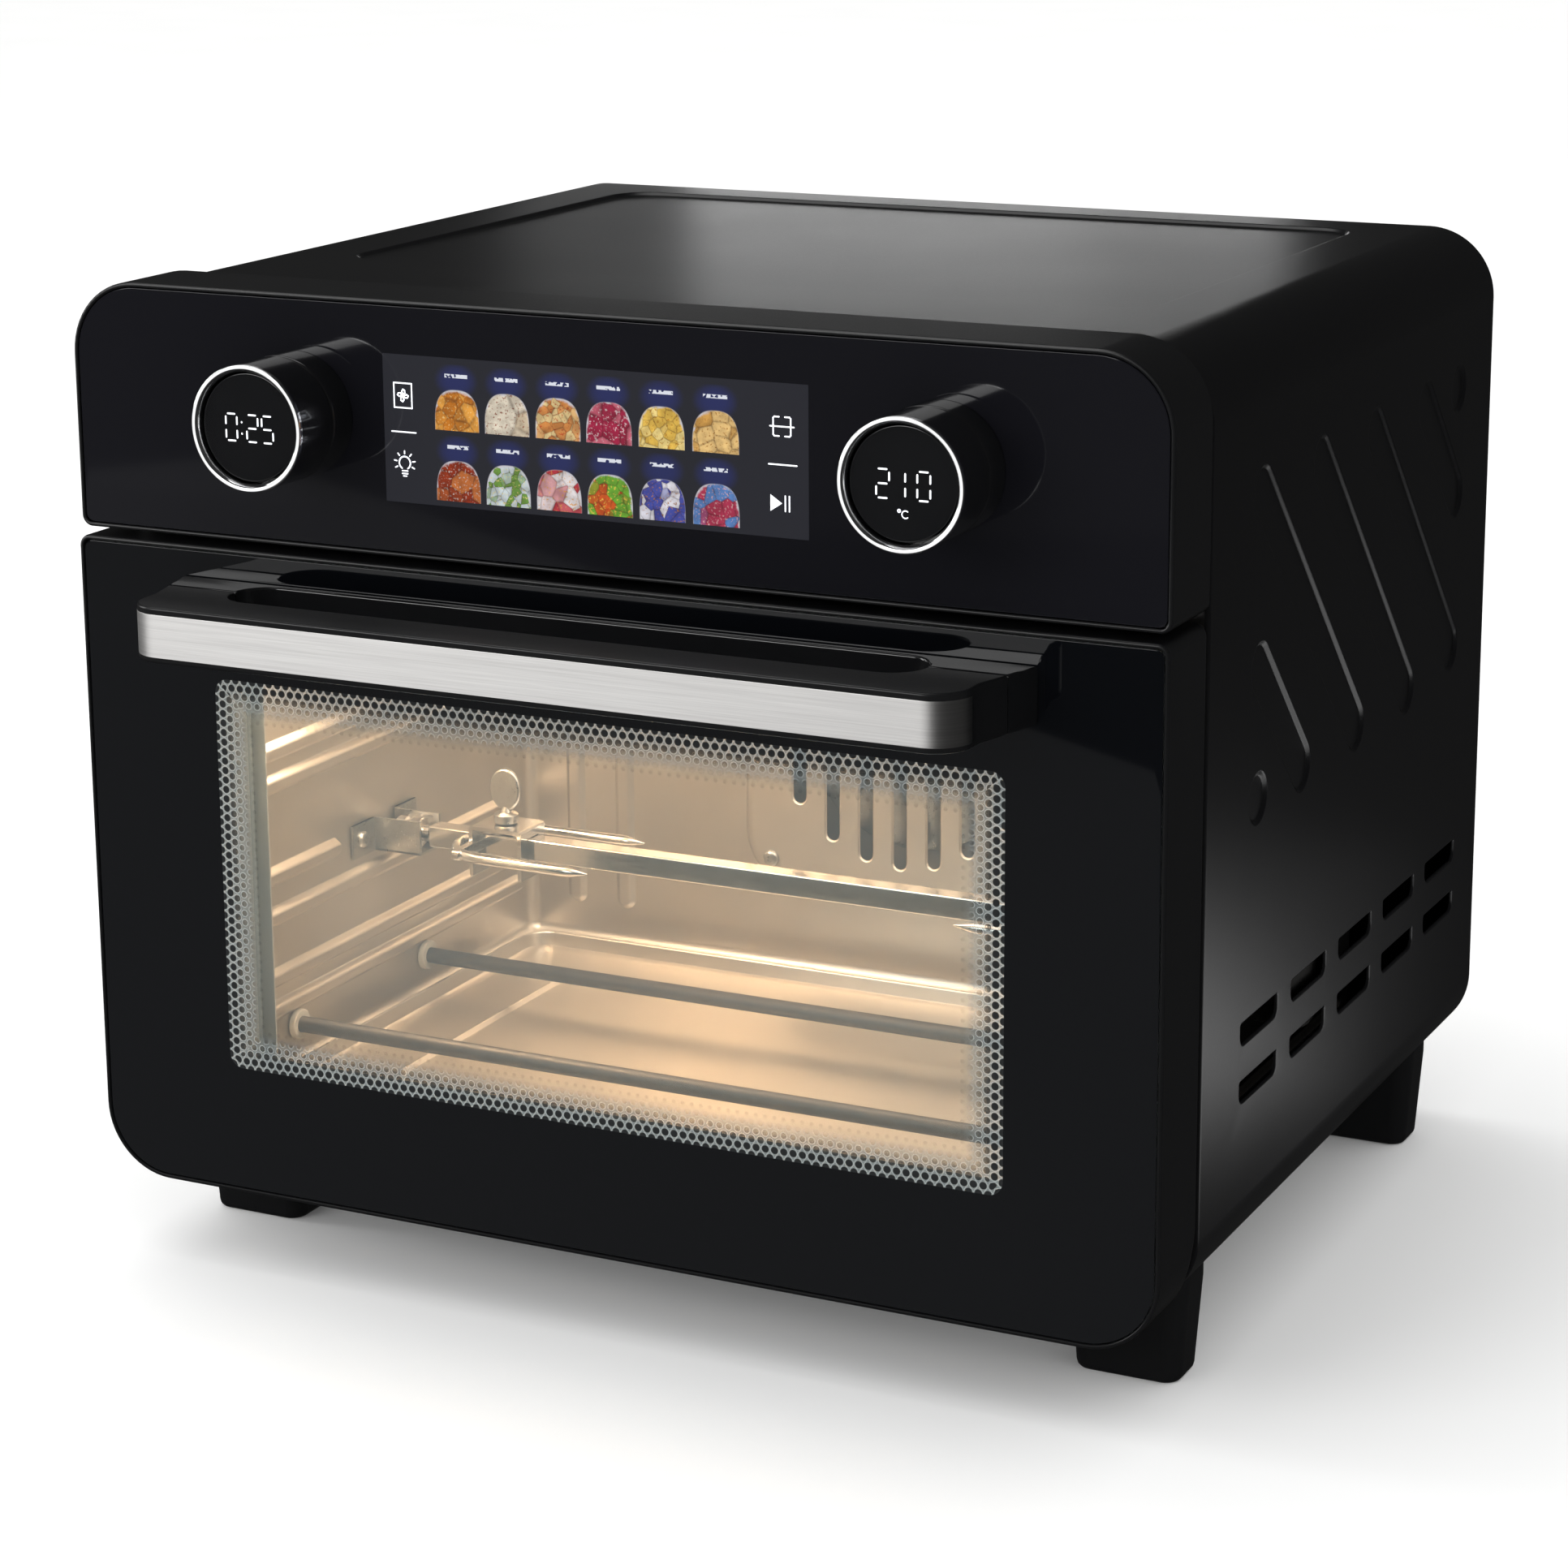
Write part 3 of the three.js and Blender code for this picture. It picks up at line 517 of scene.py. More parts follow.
cabinet = Shape()
side_features = [pressing(line, 1.1 * MM, 1.15 * MM) for line in groove_lines()]
for top in (UNDER + 85 * MM, UNDER + 65.3 * MM):
    for k in range(5):
        slot = vent(FRONT + (36.7 + 49.4 * k) * MM, top)
        side_features.append([(slot(1.0 * MM), 0), (slot(0.55 * MM), 0.12 * MM),
                              (slot(0.2 * MM), 0.45 * MM),
                              (slot(0.05 * MM), 1.0 * MM), None])
near, far = FRONT + HEM, REAR - HEM
side_outline = [(near, UNDER + BEND), (far, UNDER + BEND), (far, ROOF - BEND), (near, ROOF - BEND)]
for side in (-1, 1):
    cabinet.sheet(side_outline, side_features, lambda u, v, d, s=side: (s * (HALF - d), u, v))
tray = lambda d: rounded(-0.150 - d, FRONT + 65.2 * MM - d, 0.150 + d, FRONT + 276.2 * MM + d, 14 * MM + d)
cabinet.sheet([(-HALF + BEND, near), (HALF - BEND, near), (HALF - BEND, far), (-HALF + BEND, far)],
              [pressing(tray, 1.2 * MM, 1.2 * MM)], lambda u, v, d: (u, v, ROOF - d))


def cabinet_path(d, steps=18):
    """The folded sheet's line across the oven, from one lower lip to the other, d inside."""
    path = [(-0.164, UNDER + d)]
    for cx, cz, start in ((-HALF + BEND, UNDER + BEND, 270), (-HALF + BEND, ROOF - BEND, 180),
                          (HALF - BEND, ROOF - BEND, 90), (HALF - BEND, UNDER + BEND, 0)):
        for k in range(steps + 1):
            a = math.radians(start - 90 * k / steps)
            path.append((cx + (BEND - d) * math.cos(a), cz + (BEND - d) * math.sin(a)))
    return path + [(0.164, UNDER + d)]


hem_steps = [(HEM * (1 - math.sin(math.radians(a))), HEM * (1 - math.cos(math.radians(a))))
             for a in (0, 22.5, 45, 67.5, 90)]
rims = {}
for name, y, way in (("near", FRONT, 1), ("far", REAR, -1)):
    rims[name] = [cabinet.loop([(x, y + way * back, z) for x, z in cabinet_path(d)])
                  for d, back in hem_steps]
    cabinet.strips(rims[name], closed=False)
corner_points = 19
for i in range(len(rims["near"][-1]) - 1):
    flat = i in (corner_points, 2 * corner_points, 3 * corner_points)
    if not flat:
        a, b = rims["near"][-1], rims["far"][-1]
        cabinet.faces.append((a[i], a[i + 1], b[i + 1], b[i]))
cabinet_skin = build("cabinet_skin", cabinet, out_of=(0, 0.03, 0.18), modify=thicken(SHEET))

coat, w = finish("satin black powder coat", {"Specular IOR Level": 0.5})
fine, broad = w.noise(2600, 2), w.noise(9, 3)
wear(coat, {
    "Base Color": broad.mix((0.0022, 0.0022, 0.0028), (0.0034, 0.0034, 0.0041)),
    "Roughness": 0.24 + 0.07 * fine + 0.05 * broad,
    "Normal": fine.bump(0.00006, 0.35)})
dress(cabinet_skin, coat, "base", "coated_steel", "cabinet_shell")
walls.objects.link(cabinet_skin)
flank.objects.link(cabinet_skin)
grooves.objects.link(cabinet_skin)

# ---- Back panel, base pan and screws -------------------------------------------------------------
# A coated plate with two columns of pressed vent slots closes the back, a zinc-coated pan with bottom
# slots closes the underside. Pan-head screws hold both to the cabinet's flanges.
def slab(name, axis, low, high, outer, holes=(), edge=0.4 * MM, turns=3):
    """A flat piece with rounded rims, pushed along an axis. outer and holes give their outline for
    a distance cut into the piece."""
    put = {"x": lambda u, v, t: (t, u, v), "y": lambda u, v, t: (u, t, v),
           "z": lambda u, v, t: (u, v, t)}[axis]
    shape = Shape()
    rim = [(edge * (1 - math.sin(math.pi / 2 * k / turns)), edge * (1 - math.cos(math.pi / 2 * k / turns)))
           for k in range(turns + 1)]
    levels = [(d, low + t) for d, t in rim] + [(d, high - t) for d, t in reversed(rim)]
    caps = {}
    for line in (outer, *holes):
        rings = [shape.loop([put(u, v, t) for u, v in line(d)]) for d, t in levels]
        shape.strips(rings)
        caps.setdefault("low", []).extend(rings[0])
        caps.setdefault("high", []).extend(rings[-1])
    faces = fill(outer(edge), [line(edge) for line in holes])
    for ids in caps.values():
        shape.faces += [tuple(ids[i] for i in t) for t in faces]
    return build(name, shape)


def slot_hole(u0, v0, u1, v1, r, steps=5):
    return lambda d: rounded(u0 - d, v0 - d, u1 + d, v1 + d, r + d, None, steps)


def ring_hole(u, v, r, steps=14):
    return lambda d: stadium(u, v, u, v, r + d, steps)


back_low, back_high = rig.box("back_panel")
back_holes = [ring_hole(-0.150, UNDER + 30.5 * MM, 8.3 * MM)]
for k in range(5):
    z = UNDER + (78.5 + 16 * k) * MM
    back_holes += [slot_hole(x - 0.036, z, x + 0.036, z + 5 * MM, 2.4 * MM) for x in (-0.048, 0.048)]
back_skin = slab("back_skin", "y", back_low.y, back_high.y,
                 lambda d: rounded(back_low.x + d, back_low.z + d, back_high.x - d, back_high.z - d,
                                   23.5 * MM - d),
                 back_holes, 0.3 * MM, 2)
dress(back_skin, coat, "base", "coated_steel", "back_panel")

pan_low, pan_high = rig.box("base_pan")
pan_slots = [slot_hole(0.034 * k - 0.003, FRONT + 58.2 * MM, 0.034 * k + 0.003, FRONT + 118.2 * MM,
                       2.9 * MM)
             for k in range(-3, 4)]
pan_skin = slab("base_pan_skin", "z", pan_low.z, pan_high.z,
                lambda d: rounded(pan_low.x + d, pan_low.y + d, pan_high.x - d, pan_high.y - d, 1.5 * MM),
                pan_slots, 0.3 * MM, 2)
zinc, w = finish("zinc-coated steel", {"Metallic": 1.0, "Specular IOR Level": 0.5})
place = w.node("TexCoord", out=3)
flakes = w.node("TexVoronoi", {}, {"Vector": place, "Scale": 160.0}, out=1)
flake = w.node("SeparateColor", {}, {0: flakes})
wear(zinc, {
    "Base Color": flake.mix((0.46, 0.46, 0.46), (0.58, 0.58, 0.575)),
    "Roughness": 0.3 + 0.12 * flake + 0.06 * w.noise(900),
    "Normal": w.noise(700, 3).bump(0.00004, 0.3)})
dress(pan_skin, zinc, "base", "galvanised", "base_pan")


class Layout:
    """A small geometry tree that sets a part out on points, turned at random from a fixed seed."""

    def __init__(self, name, inputs):
        self.tree = bpy.data.node_groups.new(name, "GeometryNodeTree")
        self.tree.interface.new_socket("Geometry", in_out="INPUT", socket_type="NodeSocketGeometry")
        self.names = {}
        for label, kind, value in inputs:
            made = self.tree.interface.new_socket(label, in_out="INPUT", socket_type="NodeSocket" + kind)
            if value is not None:
                made.default_value = value
            self.names[label] = made.identifier
        self.tree.interface.new_socket("Geometry", in_out="OUTPUT", socket_type="NodeSocketGeometry")
        self.entry = self.tree.nodes.new("NodeGroupInput")

    def add(self, kind, settings=None, sockets=None):
        made = self.tree.nodes.new(kind)
        for key, value in (settings or {}).items():
            setattr(made, key, value)
        for key, value in (sockets or {}).items():
            if isinstance(value, bpy.types.NodeSocket):
                self.tree.links.new(value, made.inputs[key])
            else:
                made.inputs[key].default_value = value
        return made

    def end(self, geometry):
        """Every tree ends in real geometry with its material."""
        real = self.add("GeometryNodeRealizeInstances", {}, {"Geometry": geometry})
        painted = self.add("GeometryNodeSetMaterial", {},
                           {"Geometry": real.outputs[0], "Material": self.entry.outputs["Material"]})
        exit = self.tree.nodes.new("NodeGroupOutput")
        self.tree.links.new(painted.outputs[0], exit.inputs[0])

    def run(self, name, spots, **values):
        """Applies the tree to a mesh of bare points and returns the plain mesh."""
        mesh = bpy.data.meshes.new(name)
        mesh.from_pydata([tuple(p) for p in spots], [], [])
        piece = bpy.data.objects.new(name, mesh)
        scene.collection.objects.link(piece)
        layout = piece.modifiers.new("layout", "NODES")
        layout.node_group = self.tree
        for label, value in values.items():
            layout[self.names[label.replace("_", " ").capitalize()]] = value
        settle(piece)
        return piece


set_out = Layout("parts set out on points", [
    ("Part", "Object", None), ("Direction", "Vector", (0.0, 0.0, 0.0)), ("Spin", "Float", 0.0),
    ("Seed", "Int", 1), ("Material", "Material", None)])
entry = set_out.entry
part = set_out.add("GeometryNodeObjectInfo", {}, {"Object": entry.outputs["Part"]})
chance = set_out.add("FunctionNodeRandomValue", {"data_type": "FLOAT"}, {"Seed": entry.outputs["Seed"]})
angle = set_out.add("ShaderNodeMath", {"operation": "MULTIPLY"},
                    {0: chance.outputs[1], 1: entry.outputs["Spin"]})
turn = set_out.add("ShaderNodeCombineXYZ", {}, {"Z": angle.outputs[0]})
copies = set_out.add("GeometryNodeInstanceOnPoints", {}, {
    "Points": entry.outputs["Geometry"], "Instance": part.outputs["Geometry"],
    "Rotation": entry.outputs["Direction"]})
turned_copies = set_out.add("GeometryNodeRotateInstances", {},
                            {"Instances": copies.outputs[0], "Rotation": turn.outputs[0]})
set_out.end(turned_copies.outputs[0])


def around(name, profile, sides=48, centre=(0, 0, 0), axis="z", closed=False, keep=True):
    """A piece turned on a lathe; profile is a list of (radius, distance along the axis)."""
    cx, cy, cz = centre
    put = {"z": lambda c, s, t: (cx + c, cy + s, cz + t), "y": lambda c, s, t: (cx + c, cy + t, cz + s),
           "x": lambda c, s, t: (cx + t, cy + c, cz + s)}[axis]
    shape = Shape()
    shape.skin([[put(r * math.cos(2 * math.pi * k / sides), r * math.sin(2 * math.pi * k / sides), t)
                 for k in range(sides)] for r, t in profile], closed=closed)
    return build(name, shape) if keep else shape


def screw_part(name, r=3.2 * MM):
    """A pan-head screw with a cross recess, standing on its flange."""
    shape = around(name, [(r, 0), (r, 0.5 * MM), (0.92 * r, 1.0 * MM), (0.72 * r, 1.35 * MM),
                          (0.4 * r, 1.5 * MM), (0.36 * r, 1.5 * MM), (0.3 * r, 0.7 * MM)], 20, keep=False)
    cross = [(0.5, 0.1), (0.1, 0.1), (0.1, 0.5), (-0.1, 0.5), (-0.1, 0.1), (-0.5, 0.1), (-0.5, -0.1),
             (-0.1, -0.1), (-0.1, -0.5), (0.1, -0.5), (0.1, -0.1), (0.5, -0.1)]
    shape.skin([[(x * r, y * r, z * MM) for x, y in cross] for z in (1.5, 1.53)])
    return build(name, shape, 35)


screw_model = screw_part("screw_model")
steel, w = finish("nickel-plated steel", {"Metallic": 1.0})
wear(steel, {
    "Base Color": w.noise(300).mix((0.5, 0.49, 0.47), (0.64, 0.63, 0.6)),
    "Roughness": 0.22 + 0.16 * w.noise(1200, 3)})
back_face = back_high.y + 0.0001
back_spots = [(x, back_face, UNDER + z * MM) for x in (-0.182, 0.182) for z in (34, 150, 270)]
back_spots += [(x, back_face, UNDER + z * MM) for x in (-0.09, 0.09) for z in (14, 294)]
back_screws = set_out.run("back_screws", back_spots, part=screw_model, spin=6.3, seed=4,
                          direction=(-math.pi / 2, 0, 0), material=steel)
dress(back_screws, steel, "base", "coated_steel")
pan_spots = [(x, FRONT + y * MM, pan_low.z - 0.0001) for x in (-0.157, 0.157) for y in (60, 150, 215, 280)]
pan_screws = set_out.run("base_screws", pan_spots, part=screw_model, spin=6.3, seed=9,
                         direction=(math.pi, 0, 0), material=steel)
dress(pan_screws, steel, "base", "galvanised")


# ---- Feet and cord gland -------------------------------------------------------------------------
# Tapered black plastic feet, screwed up through the base. The gland is a moulded rubber bush in the
# back, with grip rings round its collar.
plastic, w = finish("satin black plastic", {"Specular IOR Level": 0.5})
fine, broad = w.noise(1900, 3), w.noise(14, 2)
wear(plastic, {
    "Base Color": broad.mix((0.0042, 0.0043, 0.005), (0.0065, 0.0066, 0.0072)),
    "Roughness": 0.27 + 0.1 * fine + 0.04 * broad,
    "Normal": fine.bump(0.00005, 0.3)})
rubber, w = finish("black rubber", {"Specular IOR Level": 0.35})
fine = w.noise(1500, 3)
wear(rubber, {
    "Base Color": fine.mix((0.0022, 0.0022, 0.0026), (0.0042, 0.0042, 0.0046)),
    "Roughness": 0.55 + 0.2 * fine,
    "Normal": fine.bump(0.0001, 0.4)})

FOOT_X = 0.167
for spot in ("front_left", "front_right", "rear_left", "rear_right"):
    low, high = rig.box("foot_" + spot)
    cx, cy = (-FOOT_X if "left" in spot else FOOT_X), (low.y + high.y) / 2
    wide, deep, tall = 21 * MM, 12.5 * MM, 40 * MM
    shape = Shape()
    loops = []
    for inset, z in ((2.2, 0), (0.9, 0.35), (0.25, 1.1), (0, 2.2), (0, 12), (0, 22), (0, 33)):
        grow = 0.86 + 0.14 * z * MM / tall
        d = inset * MM
        ring = rounded(-wide * grow + d, -deep * grow + d, wide * grow - d, deep * grow - d,
                       7 * MM * grow - d)
        loops.append([(cx + x, cy + y, z * MM) for x, y in ring])

    def under_cabinet(x):
        """Height of the cabinet's rounded lower edge above this x."""
        past = abs(x) - (HALF - BEND)
        return UNDER + (0 if past <= 0 else BEND - math.sqrt(max(BEND ** 2 - past ** 2, 0))) - 0.3 * MM

    loops.append([(x, y, under_cabinet(x)) for x, y, z in loops[-1]])
    shape.skin(loops)
    foot = build("foot_" + spot + "_moulding", shape, 50)
    dress(foot, plastic, "base", "rubber", "foot_" + spot)

low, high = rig.box("cord_gland")
gx, gz = (low.x + high.x) / 2, (low.z + high.z) / 2
collar = [(4 * MM, high.y - low.y), (6.4 * MM, high.y - low.y), (7.2 * MM, high.y - low.y - 0.6 * MM)]
for k in range(4):
    t = high.y - low.y - (1.2 + 1.1 * k) * MM
    collar += [((7.9 + 0.75 * k) * MM, t), ((7.4 + 0.75 * k) * MM, t - 0.4 * MM)]
base_of_collar = back_high.y + 0.3 * MM - low.y
collar += [(11 * MM, base_of_collar + 1.2 * MM), (11 * MM, base_of_collar), (8 * MM, base_of_collar),
           (8 * MM, 0),
           (4 * MM, 0)]
gland = around("cord_gland_bush", collar, 48, (gx, low.y, gz), "y", closed=True)
dress(gland, rubber, "base", "rubber", "cord_gland")


# ---- Front frame, door seal and hinges -----------------------------------------------------------
# A zinc-coated steel face round the cavity mouth, with a black silicone cord in a groove as the door's
# seal and a steel arm with a riveted pin on each side for the hinge.
low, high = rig.box("front_frame")
mouth_low, mouth_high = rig.box("cavity_liner")
mouth = lambda d: rounded(mouth_low.x + MM - d, mouth_low.z + MM - d, mouth_high.x - MM + d,
                          mouth_high.z - MM + d, 4 * MM + d)
panel_hole = slot_hole(-0.140, low.z + 239 * MM, 0.140, low.z + 295 * MM, 4 * MM, 8)
frame_skin = slab("front_frame_skin", "y", low.y, high.y,
                  lambda d: rounded(low.x + d, low.z + d, high.x - d, high.z - d, 23.5 * MM - d),
                  [mouth, panel_hole], 0.3 * MM, 2)
dress(frame_skin, zinc, "base", "galvanised", "front_frame")

low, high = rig.box("door_seal")
seal = Shape()
mid, bead = (low.y + high.y) / 2, (high.y - low.y) / 2
section = [(2 * MM + 1.7 * MM * math.cos(a), bead * math.sin(a))
           for a in (k * math.pi / 6 for k in range(12))]
seal.skin([[(x, mid + t, z) for x, z in rounded(low.x + d, low.z + d, high.x - d, high.z - d, 7 * MM - d)]
           for d, t in section], closed=True)
seal_cord = build("door_seal_cord", seal, 60)
dress(seal_cord, rubber, "base", "rubber", "door_seal")
for side in ("left", "right"):
    node = "hinge_bracket_" + side
    frame["nodes"][node].data.materials[0] = steel


# ---- Cavity liner --------------------------------------------------------------------------------
# Aluminised steel folded into a box. Rack rails are pressed into both side walls, upright ribs into
# the back wall, and the lamp, the spit's drive and the four heating rods pass through holes.
IN, OUT = mouth_low.x + MM, mouth_high.x - MM
FLOOR, CEILING = mouth_low.z + MM, mouth_high.z - MM
MOUTH, BACK = mouth_low.y, mouth_high.y - MM
FOLD = 5 * MM
rods = {}
for level in ("lower", "upper"):
    for place_name in ("front", "rear"):
        a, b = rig.box(f"heater_{level}_{place_name}")
        rods[level, place_name] = ((a.y + b.y) / 2, (a.z + b.z) / 2)
lens_low, lens_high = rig.box("lamp_lens")
LAMP_Y, LAMP_Z = (lens_low.y + lens_high.y) / 2, (lens_low.z + lens_high.z) / 2
drive_low, drive_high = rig.box("drive_socket")
SPIT_Y, SPIT_Z = (drive_low.y + drive_high.y) / 2, (drive_low.z + drive_high.z) / 2


def rail(z, y0, y1):
    line = lambda d: stadium(y0 + 3.4 * MM, z, y1 - 3.4 * MM, z, 2.6 * MM + d, 8)
    return [(line(1.4 * MM), 0), (line(0.9 * MM), -0.35 * MM), (line(0.3 * MM), -1.4 * MM),
            (line(-0.3 * MM), -2.4 * MM), (line(-0.9 * MM), -2.9 * MM), (line(-1.5 * MM), -3 * MM)]


def hole(y, z, r, lip=0.8 * MM):
    line = ring_hole(y, z, r)
    return [(line(lip), 0), (line(lip * 0.4), 0.15 * MM), (line(0), 0.7 * MM), None]


liner = Shape()
rails = [rail(FLOOR + z * MM, MOUTH + 6 * MM, MOUTH + (80 if z == 73 else 212) * MM)
         for z in (119, 107, 73, 58, 35, 23)]
upper = {1: [rail(FLOOR + z * MM, MOUTH + 6 * MM, MOUTH + 212 * MM) for z in (159, 147)],
         -1: [rail(FLOOR + z * MM, MOUTH + a * MM, MOUTH + b * MM) for z in (159, 147)
              for a, b in ((6, 38), (86, 212))]}
rod_holes = [hole(y, z, 3.4 * MM) for y, z in rods.values()]
wall = [(MOUTH, FLOOR + FOLD), (BACK - FOLD, FLOOR + FOLD), (BACK - FOLD, CEILING - FOLD),
        (MOUTH, CEILING - FOLD)]
liner.sheet(wall, upper[-1] + rails + rod_holes + [hole(LAMP_Y, LAMP_Z, 20 * MM, 2 * MM)],
            lambda u, v, d: (IN - d, u, v))
liner.sheet(wall, upper[1] + rails + rod_holes + [hole(SPIT_Y, SPIT_Z, 9.2 * MM, 0.5 * MM)],
            lambda u, v, d: (OUT + d, u, v))


def rib(x):
    line = lambda d: stadium(x, FLOOR + 19 * MM, x, FLOOR + 187 * MM, 3 * MM + d, 8)
    return [(line(1.4 * MM), 0), (line(0.9 * MM), -0.3 * MM), (line(-0.3 * MM), -1.5 * MM),
            (line(-1.2 * MM), -2 * MM)]


rear_wall = [(IN + FOLD, FLOOR + FOLD), (OUT - FOLD, FLOOR + FOLD), (OUT - FOLD, CEILING - FOLD),
             (IN + FOLD, CEILING - FOLD)]
liner.sheet(rear_wall, [rib(x) for x in (-0.150, -0.128, 0.128, 0.150)] + [hole(0, FLOOR + 104 * MM,
                                                                                6 * MM)],
            lambda u, v, d: (u, BACK + d, v))
for z in (FLOOR, CEILING):
    liner.sheet([(IN + FOLD, MOUTH), (OUT - FOLD, MOUTH), (OUT - FOLD, BACK - FOLD),
                 (IN + FOLD, BACK - FOLD)], [],
                lambda u, v, d, z=z: (u, v, z))
bends = [FOLD * (1 - math.cos(math.radians(a))) for a in (0, 18, 36, 54, 72, 90)]
rises = [FOLD * (1 - math.sin(math.radians(a))) for a in (0, 18, 36, 54, 72, 90)]
for x, way in ((IN, 1), (OUT, -1)):
    for z, lift in ((FLOOR, 1), (CEILING, -1)):
        lines = [liner.loop([(x + way * a, y, z + lift * b) for y in (MOUTH, BACK - FOLD)])
                 for a, b in zip(bends, rises)]
        liner.strips(lines, closed=False)
    lines = [liner.loop([(x + way * a, BACK - b, z) for z in (FLOOR + FOLD, CEILING - FOLD)])
             for a, b in zip(bends, rises)]
    liner.strips(lines, closed=False)
for z, lift in ((FLOOR, 1), (CEILING, -1)):
    lines = [liner.loop([(x, BACK - b, z + lift * a) for x in (IN + FOLD, OUT - FOLD)])
             for a, b in zip(bends, rises)]
    liner.strips(lines, closed=False)
    for x, way in ((IN, 1), (OUT, -1)):
        corner = Vector((x + way * FOLD, BACK - FOLD, z + lift * FOLD))
        rows = []
        for i in range(6):
            p = math.pi / 10 * i
            rows.append(liner.loop([corner + FOLD * Vector((
                -way * math.cos(p) * math.cos(q), math.cos(p) * math.sin(q), -lift * math.sin(p)))
                for q in (math.pi / 10 * j for j in range(6))]))
        liner.strips(rows, closed=False)


liner_skin = build("cavity_liner_skin", liner, out_of=(0, 0, 0.15), inside_out=True,
                   modify=thicken(0.9 * MM))
bright, w = finish("aluminised steel", {"Metallic": 1.0, "Specular IOR Level": 0.5})
cloud, streak = w.noise(22, 4), w.noise(420, 3, (1, 0.12, 1))
wear(bright, {
    "Base Color": cloud.mix((0.62, 0.575, 0.52), (0.76, 0.72, 0.665)),
    "Roughness": 0.3 + 0.12 * cloud + 0.1 * streak,
    "Normal": streak.bump(0.00005, 0.25)})
dress(liner_skin, bright, "base", "galvanised", "cavity_liner")
# The liner's outer faces, seen through the side vents, take a fibre wrap. Its near-black colour is painted shade, so
# the inside of the cabinet reads dark through the vents.
shaded_fibre_wrap, w = finish("dark fibre wrap", {"Specular IOR Level": 0.2})
fibre = w.noise(500, 4, (1, 0.2, 1))
wear(shaded_fibre_wrap, {"Base Color": fibre.mix((0.006, 0.006, 0.006), (0.016, 0.015, 0.014)),
            "Roughness": 0.8 + 0.15 * fibre})
liner_skin.data.materials.append(shaded_fibre_wrap)
middle = Vector((0, (MOUTH + BACK) / 2, (FLOOR + CEILING) / 2))
for polygon in liner_skin.data.polygons:
    away = [abs(polygon.center.x) - OUT, polygon.center.y - BACK, FLOOR - polygon.center.z,
            polygon.center.z - CEILING]
    faces_out = polygon.normal.dot(polygon.center - middle) > 0
    polygon.material_index = 1 if max(away) > 0.5 * MM and faces_out else 0


# ---- Crumb tray ----------------------------------------------------------------------------------
# A shallow pressed tray with a rolled rim on the cavity floor; a raised bead runs round its middle.
low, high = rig.box("crumb_tray")
tray = Shape()
ring = lambda d: rounded(low.x + d, low.y + d, high.x - d, high.y - d, 10 * MM - d * 0.6)
outside = [(6 * MM, 0), (2.6 * MM, 0.15 * MM), (1.3 * MM, 0.9 * MM), (0.7 * MM, 5.6 * MM),
           (0.1 * MM, 6.4 * MM),
           (0.0 * MM, 7.0 * MM), (0.35 * MM, 7.45 * MM), (1.0 * MM, 7.4 * MM), (1.5 * MM, 6.8 * MM),
           (2.0 * MM, 2.2 * MM), (3.0 * MM, 1.3 * MM), (6 * MM, 1.0 * MM)]
rings = [tray.loop([(u, v, low.z + t) for u, v in ring(d)]) for d, t in outside]
tray.strips(rings)
tray.faces.append(tuple(reversed(rings[0])))
bead = lambda d: rounded(low.x + 30 * MM + d, low.y + 28 * MM + d, high.x - 30 * MM - d,
                         high.y - 28 * MM - d,
                         16 * MM - d)
middle = low.z + 1.0 * MM
steps = [(0, 0), (0.7 * MM, 0.3 * MM), (1.4 * MM, 1.1 * MM), (2.2 * MM, 1.4 * MM), (3.0 * MM, 1.1 * MM),
         (3.7 * MM, 0.3 * MM), (4.4 * MM, 0)]
start = len(tray.points)
ids = rings[-1] + tray.loop([(u, v, middle) for u, v in bead(0)])
tray.faces += [tuple(ids[i] for i in t) for t in fill(ring(6 * MM), [bead(0)])]
last = ids[len(rings[-1]):]
for d, t in steps[1:]:
    inner = tray.loop([(u, v, middle + t) for u, v in bead(d)])
    tray.strip(last, inner)
    last = inner
tray.faces.append(tuple(last))
tray_skin = build("crumb_tray_pressing", tray)
dress(tray_skin, bright, "base", "brushed", "crumb_tray")
